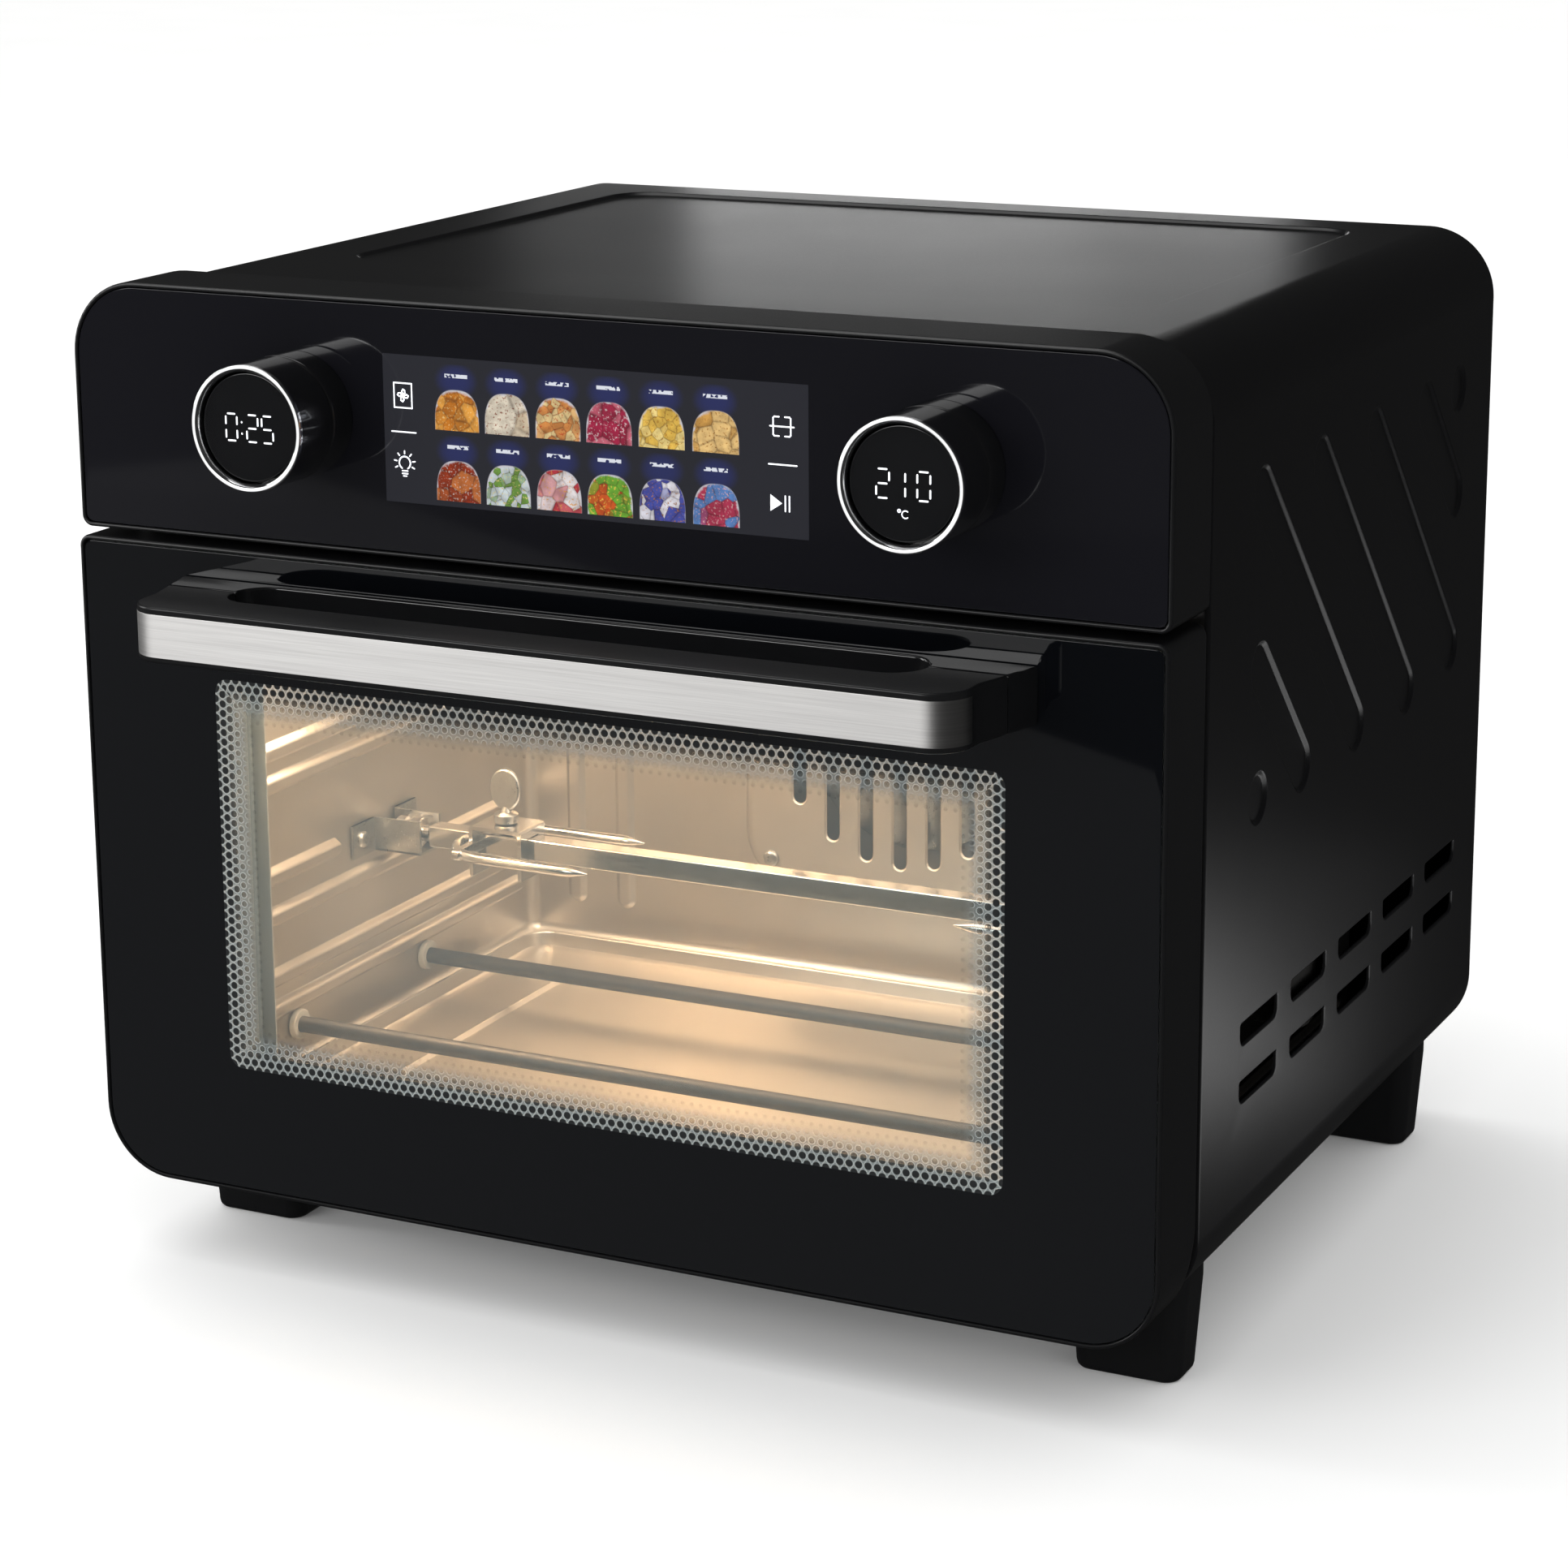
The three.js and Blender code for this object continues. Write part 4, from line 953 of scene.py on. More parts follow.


# ---- Heating rods --------------------------------------------------------------------------------
# Four sheathed rods across the cavity, two low and two high, dull grey from firing. Each ends in a
# white ceramic bush at the wall.
element, w = finish("fired sheath steel", {"Metallic": 0.85})
scale = w.noise(160, 4)
wear(element, {
    "Base Color": scale.mix((0.085, 0.08, 0.076), (0.17, 0.16, 0.15)),
    "Roughness": 0.42 + 0.25 * scale,
    "Normal": scale.bump(0.00008, 0.3)})
ceramic, w = finish("white ceramic", {"Specular IOR Level": 0.4})
wear(ceramic, {"Base Color": w.noise(260, 3).mix((0.55, 0.52, 0.46), (0.7, 0.67, 0.6)),
               "Roughness": 0.5 + 0.2 * w.noise(900)})
for (level, place_name), (y, z) in rods.items():
    node = f"heater_{level}_{place_name}"
    low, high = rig.box(node)
    r, long = 3 * MM, high.x - low.x
    profile = [(1.2 * MM, 0), (1.4 * MM, 0.2 * MM), (1.4 * MM, 5 * MM), (r - 0.3 * MM, 5 * MM),
               (r, 5.3 * MM)]
    profile += [(r, 0.02 + k * (long - 0.04) / 24) for k in range(25)]
    profile += [(r, long - 5.3 * MM), (r - 0.3 * MM, long - 5 * MM), (1.4 * MM, long - 5 * MM),
                (1.4 * MM, long - 0.2 * MM), (1.2 * MM, long)]
    rod = around(node + "_rod", profile, 28, (low.x, y, z), "x")
    dress(rod, element, "base", "element", node)
    for side in (-1, 1):
        face = side * (OUT - 0.2 * MM)
        bush = around(f"{node}_bush_{'left' if side < 0 else 'right'}",
                      [(3.1 * MM, 0.4 * MM), (3.1 * MM, -2.6 * MM * side), (5.2 * MM, -2.6 * MM * side),
                       (5.6 * MM, -2.1 * MM * side), (5.6 * MM, 0.4 * MM)], 24, (face, y, z), "x",
                       closed=True)
        dress(bush, ceramic, "base", "element")


# ---- Oven lamp -----------------------------------------------------------------------------------
# A warm bulb behind a ribbed glass disc in the left wall, held by a turned steel rim.
low, high = lens_low, lens_high
glow, w = finish("lit lamp glass", {"Roughness": 0.12, "Emission Strength": 2.2})
x, y, z = w.along()
spread = ((y - LAMP_Y) * (y - LAMP_Y) + (z - LAMP_Z) * (z - LAMP_Z)).root()
wear(glow, {"Base Color": w.noise(60).mix((0.9, 0.78, 0.55), (0.95, 0.85, 0.66)),
            "Emission Color": spread.ramp(0.0, 0.02).mix((1.0, 0.72, 0.34), (0.75, 0.4, 0.13))})
profile = [(19.4 * MM, 0), (19.6 * MM, 0.3 * MM), (19.6 * MM, 7.0 * MM)]
for k in range(9):
    r = (19 - 2.1 * k) * MM
    profile += [(r, (8.0 + 0.06 * k) * MM), (r - 1.05 * MM, (8.5 + 0.05 * k) * MM)]
profile = [(r, min(t, high.x - low.x)) for r, t in profile] + [(0.4 * MM, high.x - low.x)]
lens = around("lamp_glass", profile, 64, (low.x, LAMP_Y, LAMP_Z), "x")
dress(lens, glow, "base", "clear_glass", "lamp_lens")
rim = around("lamp_rim", [(19.7 * MM, 0.2 * MM), (22.6 * MM, 0.2 * MM), (22.8 * MM, 0.6 * MM),
                          (22.2 * MM, 1.3 * MM),
                          (20.2 * MM, 1.6 * MM), (19.7 * MM, 1.2 * MM)], 64, (IN, LAMP_Y, LAMP_Z), "x",
                          closed=True)
dress(rim, steel, "base", "galvanised")
frame["nodes"]["lamp_holder"].data.materials[0] = steel
bulb = bpy.data.objects.new("oven_bulb", bpy.data.lights.new("oven_bulb", "POINT"))
bulb.data.energy, bulb.data.color, bulb.data.shadow_soft_size = 0.88, (1.0, 0.68, 0.44), 0.012
bulb.location = (IN + 16 * MM, LAMP_Y, LAMP_Z)
scene.collection.objects.link(bulb)
GLOW_X, GLOW_Y = 0.03, (MOUTH + BACK) / 2 - 0.03
softbox("cavity_light", (GLOW_X, GLOW_Y, CEILING - 0.004), (GLOW_X, GLOW_Y, 0), 0.26, 0.14, 0.53,
        (1.0, 0.77, 0.6))


# ---- Fan -----------------------------------------------------------------------------------------
# A pressed cover with slots on the back wall, a stamped eight-blade rotor behind it and its motor.
low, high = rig.box("fan_cover")
FAN_Z = (low.z + high.z) / 2
cover = Shape()
line = lambda d: rounded(low.x + d, low.z + d, high.x - d, high.z - d, 22 * MM - d * 0.8)
dish = [(0, high.y - low.y), (0.1 * MM, 4.5 * MM), (0.6 * MM, 2.0 * MM), (2.2 * MM, 0.4 * MM), (5 * MM, 0)]
rings = [cover.loop([(u, low.y + t, v) for u, v in line(d)]) for d, t in dish]
cover.strips(rings)
slots = []
for k in range(-3, 4):
    reach = math.sqrt(52 ** 2 - (14 * k) ** 2) * MM
    for part_low, part_high in ((-reach, -2.5 * MM), (2.5 * MM, reach)):
        slots.append(slot_hole(14 * k * MM - 2.6 * MM, FAN_Z + part_low, 14 * k * MM + 2.6 * MM,
                               FAN_Z + part_high,
                               2.5 * MM, 4))
face = Shape()
face.sheet(line(5 * MM),
           [[(s(0.9 * MM), 0), (s(0.4 * MM), 0.2 * MM), (s(0), 0.8 * MM), None] for s in slots],
           lambda u, v, d: (u, low.y + d, v))
start = len(cover.points)
cover.points += face.points
cover.faces += [tuple(i + start for i in f) for f in face.faces]
cover_skin = build("fan_cover_pressing", cover, out_of=(0, high.y, FAN_Z), modify=thicken(0.9 * MM))
dress(cover_skin, bright, "base", "galvanised", "fan_cover")
cover_screws = set_out.run("fan_cover_screws", [(x, low.y - 0.0001, FAN_Z + z) for x in (-0.054, 0.054)
                                                for z in (-0.054, 0.054)],
                           part=screw_model, spin=6.3, seed=2, direction=(math.pi / 2, 0, 0),
                           material=steel)
dress(cover_screws, steel, "base", "galvanised")

low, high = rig.box("fan_rotor")
blades = Layout("fan blades round a hub", [
    ("Blades", "Int", 8), ("Radius", "Float", 0.03), ("Length", "Float", 0.034), ("Depth", "Float", 0.007),
    ("Thickness", "Float", 0.0008), ("Twist", "Float", 0.35), ("Place", "Vector", (0.0, 0.0, 0.0)),
    ("Material", "Material", None)])
entry = blades.entry.outputs
hub = blades.add("GeometryNodeMeshCircle", {}, {"Vertices": entry["Blades"], "Radius": entry["Radius"]})
count = blades.add("GeometryNodeInputIndex")
share = blades.add("ShaderNodeMath", {"operation": "DIVIDE"}, {0: count.outputs[0], 1: entry["Blades"]})
angle = blades.add("ShaderNodeMath", {"operation": "MULTIPLY_ADD"},
                   {0: share.outputs[0], 1: 2 * math.pi, 2: 0.0})
bend = blades.add("ShaderNodeMath", {"operation": "ADD"}, {0: angle.outputs[0], 1: entry["Twist"]})
turn = blades.add("ShaderNodeCombineXYZ", {}, {"Z": bend.outputs[0]})
extent = blades.add("ShaderNodeCombineXYZ", {},
                    {"X": entry["Length"], "Y": entry["Thickness"], "Z": entry["Depth"]})
blade = blades.add("GeometryNodeMeshCube", {}, {"Size": extent.outputs[0]})
set_round = blades.add("GeometryNodeInstanceOnPoints", {}, {
    "Points": hub.outputs[0], "Instance": blade.outputs[0], "Rotation": turn.outputs[0]})
stand = blades.add("GeometryNodeTransform", {}, {
    "Geometry": set_round.outputs[0], "Translation": entry["Place"], "Rotation": (math.pi / 2, 0, 0)})
blades.end(stand.outputs[0])
vanes = blades.run("fan_vanes", [(0, 0, 0)], blades=8, radius=0.0305, length=0.031,
                   depth=high.y - low.y - 0.0135,
                   thickness=0.8 * MM, twist=0.35, place=(0, (low.y + high.y - 0.0115) / 2 - 0.0006, FAN_Z),
                   material=steel)
dress(vanes, steel, "fan", "brushed")
back_plate = high.y - 11 * MM
disc = around("fan_disc", [(1.6 * MM, low.y + 1 * MM), (3 * MM, low.y + 1.6 * MM),
                           (3 * MM, back_plate - 2.2 * MM),
                           (6 * MM, back_plate - 1.8 * MM), (10 * MM, back_plate - 0.9 * MM),
                           (47.2 * MM, back_plate - 0.9 * MM), (47.8 * MM, back_plate - 0.5 * MM),
                           (47.2 * MM, back_plate), (3 * MM, back_plate), (3 * MM, high.y - 0.4 * MM),
                           (2.6 * MM, high.y)], 64, (0, 0, FAN_Z), "y")
dress(disc, steel, "fan", "brushed", "fan_rotor")
for node in ("fan_motor", "spit_motor", "encoder_left", "encoder_right"):
    frame["nodes"][node].data.materials[0] = steel


# ---- Spit and its supports -----------------------------------------------------------------------
# A square chromed bar with a turned bush and journal that lies in a folded bracket on the left wall;
# its other end sits in the drive socket of the gear motor behind the right wall.
chrome, w = finish("bright chromed steel", {"Metallic": 1.0})
wear(chrome, {
    "Base Color": w.noise(120, 3).mix((0.72, 0.69, 0.65), (0.84, 0.82, 0.79)),
    "Roughness": 0.09 + 0.12 * w.noise(800, 3, (0.1, 1, 1))})
spit_low, spit_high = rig.box("spit")


def square(h, edge=0.6 * MM):
    return rounded(-h, -h, h, h, edge, None, 3)


bar = Shape()
left_end, right_end = spit_low.x + 18 * MM, spit_high.x
bar.skin([[(x, SPIT_Y + u, SPIT_Z + v) for u, v in square(h * MM)] for x, h in (
    (left_end, 3.2), (left_end + 0.9 * MM, 4.0), (left_end + 40 * MM, 4.0), (-0.04, 4.0), (0.04, 4.0),
    (right_end - 12 * MM, 4.0), (right_end - 1.6 * MM, 3.6), (right_end, 2.6))])
spit_bar = build("spit_bar", bar)
dress(spit_bar, chrome, "rotisserie", "chrome_wire", "spit")
journal = around("spit_journal",
                 [(2.2 * MM, 0), (3 * MM, 0.8 * MM), (3 * MM, 3.2 * MM), (4.9 * MM, 3.4 * MM),
                                  (5.5 * MM, 4.0 * MM), (5.5 * MM, 7.2 * MM), (4.4 * MM, 7.9 * MM),
                                  (4.4 * MM, 9.4 * MM), (5.5 * MM, 10 * MM), (5.5 * MM, 13.4 * MM),
                                  (4.9 * MM, 13.9 * MM), (3 * MM, 14.2 * MM), (3 * MM, 20 * MM)],
                 40, (spit_low.x, SPIT_Y, SPIT_Z), "x")
dress(journal, chrome, "rotisserie", "chrome_wire")

socket = Shape()
h = 4.35 * MM
loops = []
for x, r in ((drive_low.x + 10 * MM, None), (drive_low.x + 0.3 * MM, None), (drive_low.x, 5.9),
             (drive_low.x, 8.2),
             (drive_low.x + 0.8 * MM, 9), (drive_high.x - 0.6 * MM, 9), (drive_high.x, 8.4)):
    ring = []
    for k in range(48):
        a = 2 * math.pi * k / 48
        c, s = math.cos(a), math.sin(a)
        reach = h / max(abs(c), abs(s)) if r is None else r * MM
        ring.append((x, SPIT_Y + reach * c, SPIT_Z + reach * s))
    loops.append(ring)
socket.skin(loops)
drive = build("drive_socket_turned", socket)
dress(drive, steel, "rotisserie", "brushed", "drive_socket")

low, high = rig.box("spit_bracket")
for side in (-1, 1):
    outer_path = [(side * -u, v) for u, v in [(22.4 * MM, 0), (8.6 * MM, 0), (7.8 * MM, 0.3 * MM),
                                              (7.4 * MM, 1.2 * MM),
                                              (7.4 * MM, 20.6 * MM)]]
    inner_path = [(side * -u, v) for u, v in [(22.4 * MM, 1.0 * MM), (8.0 * MM, 1.0 * MM),
                                              (7.0 * MM, 1.0 * MM),
                                              (6.4 * MM, 1.2 * MM), (6.4 * MM, 20.6 * MM)]]
    cheek = Shape()
    outline = outer_path + inner_path[::-1]
    cheek.skin([[(low.x + v, SPIT_Y + u, z) for u, v in outline] for z in (low.z, high.z)])
    made = build("spit_bracket_cheek_" + ("front" if side > 0 else "rear"), cheek, 30)
    dress(made, steel, "base", "brushed")
floor_plate = slab("spit_bracket_rest", "z", low.z, low.z + 1 * MM,
                   lambda d: rounded(low.x + 0.5 * MM + d, SPIT_Y - 7.4 * MM + d, high.x - d,
                                     SPIT_Y + 7.4 * MM - d,
                                     0.5 * MM), (), 0.2 * MM, 2)
dress(floor_plate, steel, "base", "brushed", "spit_bracket")
bracket_screws = set_out.run("spit_bracket_screws",
                             [(low.x + 1.05 * MM, SPIT_Y + y, SPIT_Z - 0.5 * MM)
                              for y in (-16 * MM, 16 * MM)],
                             part=screw_model, spin=6.3, seed=6, direction=(0, math.pi / 2, 0),
                             material=steel)
dress(bracket_screws, steel, "base", "brushed")


# ---- Forks ---------------------------------------------------------------------------------------
# Two bows of pointed chromed wire, each welded to a bent clamp plate that slides along the spit and
# is held by a thumb screw with a flat oval head.
def wire(name, path, r, sides=16, points=True):
    """Round wire along a smooth path, its two ends ground to points."""
    shape, rings = Shape(), []
    path = [Vector(p) for p in path]
    side_way = Vector((0, 0, 1))
    for i, spot in enumerate(path):
        way = (path[min(i + 1, len(path) - 1)] - path[max(i - 1, 0)]).normalized()
        other = way.cross(side_way).normalized()
        thin = 1.0
        if points:
            ends = min((spot - path[0]).length, (spot - path[-1]).length)
            thin = min(1.0, 0.12 + ends / (9 * MM))
        rings.append([spot + thin * r * (math.cos(a) * other + math.sin(a) * side_way)
                      for a in (2 * math.pi * k / sides for k in range(sides))])
    shape.skin(rings)
    return build(name, shape)


def punch_out(piece, shape, angle):
    """Cuts a shape out of a piece and keeps the rims steeper than an angle sharp."""
    tool = build("punch", shape)
    cut = piece.modifiers.new("punch", "BOOLEAN")
    cut.object, cut.operation, cut.solver = tool, "DIFFERENCE", "EXACT"
    settle(piece)
    bpy.data.objects.remove(tool)
    piece.data.set_sharp_from_angle(angle=math.radians(angle))


for label, way in (("left", -1), ("right", 1)):
    x0, reach = 0.118, 22 * MM
    tip, turn_x = 0.072, 0.114
    path = []
    for k in range(5):
        path.append((tip + 2.5 * MM * k, -reach))
    path += [(tip + 0.01 + (turn_x - tip - 0.01) * k / 6, -reach) for k in range(1, 7)]
    for k in range(1, 24):
        t = k / 24
        bow = 3 * t * (1 - t)
        path.append((turn_x + 29 * MM * bow, -reach * (1 - t) ** 3 - reach * 3 * t * (1 - t) ** 2
                     + reach * 3 * t * t * (1 - t) + reach * t ** 3))
    path += [(x, reach) for x, _ in reversed(path[:11])]
    prong = wire(f"fork_{label}_prongs", [(way * x, SPIT_Y + y, SPIT_Z) for x, y in path], 2 * MM)
    dress(prong, chrome, "fork_" + label, "chrome_wire", "fork_" + label)

    clamp = Shape()
    outline = [(-11, -11), (-11, 7), (-10.7, 7.7), (-10, 8), (10, 8), (10.7, 7.7), (11, 7), (11, -11),
               (9.5, -11), (9.5, 6.2), (9.2, 6.5), (-9.2, 6.5), (-9.5, 6.2), (-9.5, -11)]
    clamp.skin([[(way * x0 + u * MM, SPIT_Y + y * MM, SPIT_Z + v * MM) for u, v in outline]
                for y in (-9, -8.7, 8.7, 9)])
    plate = build(f"fork_{label}_clamp", clamp, 30)
    square_hole = Shape()
    square_hole.skin([[(x, SPIT_Y + u, SPIT_Z + v) for u, v in square(4.3 * MM, 0.3 * MM)]
                      for x in (way * x0 - 0.02, way * x0 + 0.02)])
    punch_out(plate, square_hole, 30)
    dress(plate, chrome, "fork_" + label, "chrome_wire")
    cross = slab(f"fork_{label}_crossbar", "x", way * x0 + (8 if way > 0 else -11) * MM,
                 way * x0 + (11 if way > 0 else -8) * MM,
                 lambda d: rounded(SPIT_Y - 22 * MM + d, SPIT_Z - 2 * MM + d, SPIT_Y + 22 * MM - d,
                                   SPIT_Z + 2 * MM - d, 1.6 * MM), (), 0.3 * MM, 2)
    dress(cross, chrome, "fork_" + label, "chrome_wire")

    low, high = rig.box("fork_screw_" + label)
    cx, cy = (low.x + high.x) / 2, (low.y + high.y) / 2
    shank = [(1.2 * MM, 0), (2.1 * MM, 0.5 * MM)]
    z = 0.9
    while z < 3.8:
        shank += [(2.5 * MM, z * MM), (2.05 * MM, (z + 0.35) * MM)]
        z += 0.7
    shank += [(4.1 * MM, 4.1 * MM), (4.5 * MM, 4.5 * MM), (4.5 * MM, 7.3 * MM), (4.0 * MM, 7.8 * MM),
              (2.2 * MM, 8.2 * MM), (1.5 * MM, 10 * MM)]
    stem = around(f"fork_screw_{label}_stem", [(r, t - 0.1 * MM) for r, t in shank], 32,
                  (cx, cy, low.z + 0.1 * MM))
    dress(stem, steel, "fork_screw_" + label, "chrome_wire", "fork_screw_" + label)
    ear = Shape()
    loops = []
    for y, d in ((-1.2, 1.0), (-1.0, 0.45), (-0.55, 0.05), (0, 0), (0.55, 0.05), (1.0, 0.45), (1.2, 1.0)):
        loops.append([(cx + (6.4 - d) * MM * math.cos(a), cy + y * MM,
                       high.z - 8 * MM + (8 - d) * MM * math.sin(a))
                       for a in (math.pi / 20 * k for k in range(40))])
    ear.skin(loops)
    thumb = build(f"fork_screw_{label}_ear", ear, 60)
    dress(thumb, steel, "fork_screw_" + label, "chrome_wire")


# ---- Control panel -------------------------------------------------------------------------------
# A moulded black surround with a soft lip, and one sheet of glass bonded into it, black on its back
# but for the display.
low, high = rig.box("control_housing")
PANEL_LOW = low.z
LIP = 1.5 * MM


def surround(d, bottom_r=4 * MM, steps=14):
    return rounded(low.x + d, low.z + d, high.x - d, high.z - d, max(bottom_r - d, 0.8 * MM), BEND - d,
                   steps)


def at_depth(loop, y):
    return [(u, y, v) for u, v in loop]


glass_low, glass_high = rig.box("control_glass")
housing = Shape()
steps = [(0.15 * MM, high.y), (0, high.y - 0.4 * MM), (0, low.y + 1.1 * MM), (0.12 * MM, low.y + 0.5 * MM),
         (0.42 * MM, low.y + 0.12 * MM), (0.85 * MM, low.y), (1.2 * MM, low.y + 0.06 * MM),
         (LIP, low.y + 0.35 * MM), (LIP, glass_high.y + 0.25 * MM), (6 * MM, glass_high.y + 0.25 * MM)]
loops = [at_depth(surround(d), y) for d, y in steps]
window = lambda d, y: at_depth(rounded(-0.145 + d, 0.268 + d, 0.145 - d, 0.334 - d, 4 * MM, 4 * MM, 14), y)
loops += [window(0, glass_high.y + 0.25 * MM), window(0, low.y + 8 * MM)]
loops += [at_depth(surround(2.5 * MM), y) for y in (low.y + 8 * MM, high.y - 0.2 * MM)]
housing.skin(loops, closed=True)
housing_skin = build("control_surround", housing, 35)
dress(housing_skin, plastic, "base", "black_plastic", "control_housing")
edges.objects.link(housing_skin)

gloss, w = finish("black glass", {"Specular IOR Level": 0.5, "Coat Roughness": 0.02, "IOR": 1.5})
haze = w.noise(3.5, 3)
wear(gloss, {
    "Base Color": haze.mix((0.0046, 0.0046, 0.0062), (0.0064, 0.0064, 0.0083)),
    "Roughness": 0.025 + 0.05 * haze,
    "Normal": w.noise(7, 2).bump(0.0004, 0.06)})
knob_spots = {}
for label in ("left", "right"):
    a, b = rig.box("knob_base_" + label)
    knob_spots[label] = ((a.x + b.x) / 2, (a.z + b.z) / 2)
panel_glass = slab("control_glass_plate", "y", glass_low.y, glass_high.y,
                   lambda d: rounded(glass_low.x + d, glass_low.z + d, glass_high.x - d, glass_high.z - d,
                                     3 * MM - d, 23.2 * MM - d, 14),
                   [ring_hole(x, z, 8 * MM) for x, z in knob_spots.values()], 0.35 * MM, 3)
dress(panel_glass, gloss, "base", "black_glass", "control_glass")
panes.objects.link(panel_glass)
board, w = finish("green circuit board", {"Specular IOR Level": 0.5})
place = w.node("TexCoord", out=3)
cells = w.node("TexVoronoi", {"feature": "DISTANCE_TO_EDGE"}, {"Vector": place, "Scale": 90.0})
wear(board, {"Base Color": cells.ramp(0.02, 0.05).mix((0.02, 0.12, 0.05), (0.01, 0.06, 0.025)),
             "Roughness": 0.35 + 0.1 * w.noise(200)})
frame["nodes"]["control_board"].data.materials[0] = board
frame["nodes"]["display_module"].data.materials[0] = plastic


# ---- Display -------------------------------------------------------------------------------------
# A lit colour screen flush in the glass: two rows of six round-topped food pictures, each with a plain
# bar for its caption on a blue glow, and white touch symbols at both ends.
FACE = glass_low.y
screen = Shape()
S_LEFT, S_RIGHT, S_LOW, S_TOP = -0.0750, 0.0768, PANEL_LOW + 18.4 * MM, PANEL_LOW + 66.7 * MM
tile_x = [(x - 8.4) * MM for x in (-47.8, -29.4, -10.9, 7.4, 26, 44.9)]
tile_z = [(PANEL_LOW + 20.0 * MM, PANEL_LOW + 41.6 * MM), (PANEL_LOW + 43.0 * MM, PANEL_LOW + 64.6 * MM)]
cuts_x = sorted([S_LEFT, S_RIGHT] + tile_x + [x + 16.8 * MM for x in tile_x])
cuts_z = sorted([S_LOW, S_TOP] + [z for pair in tile_z for z in pair])
front_face, back_face_y = FACE - 0.03 * MM, FACE + 0.4 * MM
grid = [screen.loop([(x, front_face, z) for x in cuts_x]) for z in cuts_z]
screen.strips(grid, closed=False)
rear = screen.loop([(x, back_face_y, z) for x, z in ((S_LEFT, S_LOW), (S_RIGHT, S_LOW), (S_RIGHT, S_TOP),
                                                     (S_LEFT, S_TOP))])
screen.faces += [tuple(rear), tuple(grid[0]) + (rear[1], rear[0]),
                 tuple(reversed(grid[-1])) + (rear[3], rear[2]),
                 tuple(r[0] for r in reversed(grid)) + (rear[0], rear[3]),
                 tuple(r[-1] for r in grid) + (rear[2], rear[1])]
display = build("display_screen", screen)
foods = [  # main colour, second colour, specks, lumps across the picture; lower row first
    ((0.30, 0.035, 0.01), (0.55, 0.16, 0.04), (0.72, 0.62, 0.55), 3.0),
    ((0.62, 0.70, 0.72), (0.16, 0.32, 0.06), (0.80, 0.66, 0.25), 7.0),
    ((0.80, 0.74, 0.74), (0.55, 0.05, 0.07), (0.75, 0.36, 0.08), 3.4),
    ((0.16, 0.42, 0.04), (0.62, 0.10, 0.02), (0.92, 0.62, 0.10), 4.5),
    ((0.78, 0.76, 0.82), (0.06, 0.08, 0.36), (0.42, 0.18, 0.06), 5.0),
    ((0.45, 0.04, 0.09), (0.10, 0.22, 0.50), (0.74, 0.42, 0.42), 3.6),
    ((0.60, 0.20, 0.02), (0.80, 0.36, 0.06), (0.92, 0.62, 0.24), 4.0),
    ((0.78, 0.70, 0.56), (0.66, 0.54, 0.38), (0.26, 0.05, 0.02), 1.6),
    ((0.66, 0.26, 0.07), (0.80, 0.60, 0.28), (0.50, 0.07, 0.02), 6.0),
    ((0.36, 0.02, 0.06), (0.62, 0.14, 0.2), (0.82, 0.62, 0.64), 3.0),
    ((0.82, 0.52, 0.09), (0.90, 0.70, 0.26), (0.52, 0.24, 0.03), 5.4),
    ((0.64, 0.34, 0.08), (0.84, 0.56, 0.22), (0.40, 0.17, 0.03), 3.4)]
mesh = display.data
mesh.uv_layers.new(name="tile")
for key in ("food", "second", "speck"):
    mesh.color_attributes.new(key, "FLOAT_COLOR", "CORNER")
layers = {key: mesh.color_attributes[key] for key in ("food", "second", "speck")}
tile_map = mesh.uv_layers["tile"]
for polygon in mesh.polygons:
    mid = sum((mesh.vertices[v].co for v in polygon.vertices), Vector()) / len(polygon.vertices)
    number = None
    for row, (z0, z1) in enumerate(tile_z):
        for column, x0 in enumerate(tile_x):
            if x0 < mid.x < x0 + 16.8 * MM and z0 < mid.z < z1 and mid.y < front_face + 0.01 * MM:
                number = (row * 6 + column, x0, z0, z1)
    for corner in polygon.loop_indices:
        spot = mesh.vertices[mesh.loops[corner].vertex_index].co
        if number is None:
            tile_map.data[corner].uv = (-1.0, -1.0)
            continue
        index, x0, z0, z1 = number
        tile_map.data[corner].uv = ((spot.x - x0) / (16.8 * MM), (spot.z - z0) / (z1 - z0))
        main, second, speck, lumps = foods[index]
        layers["food"].data[corner].color = (*main, lumps / 8)
        layers["second"].data[corner].color = (*second, index / 12)
        layers["speck"].data[corner].color = (*speck, 1)

lit, w = finish("lit display", {"Roughness": 0.05, "Specular IOR Level": 0.5, "Emission Strength": 0.85})
tile = w.node("UVMap", {"uv_map": "tile"})
parts = tile.node("SeparateXYZ", {}, {0: tile})
u, v = parts, Wire(parts.tree, parts.socket.node.outputs[1])
food = w.node("Attribute", {"attribute_name": "food"})
second = w.node("Attribute", {"attribute_name": "second"})
speck = w.node("Attribute", {"attribute_name": "speck"})
lumps = Wire(food.tree, food.socket.node.outputs[3]) * 8
shift = Wire(second.tree, second.socket.node.outputs[3]) * 31
spot = w.node("CombineXYZ", {}, {0: u + shift, 1: v * 1.25, 2: shift})
wobble = w.node("TexNoise", {}, {"Vector": spot, "Scale": 5.0, "Detail": 3.0})
fine = w.node("TexNoise", {}, {"Vector": spot, "Scale": 22.0, "Detail": 3.0})
cells = w.node("TexVoronoi", {}, {"Vector": spot, "Scale": lumps})
cell_random = cells.node("SeparateColor", {}, {0: Wire(cells.tree, cells.socket.node.outputs[1])})
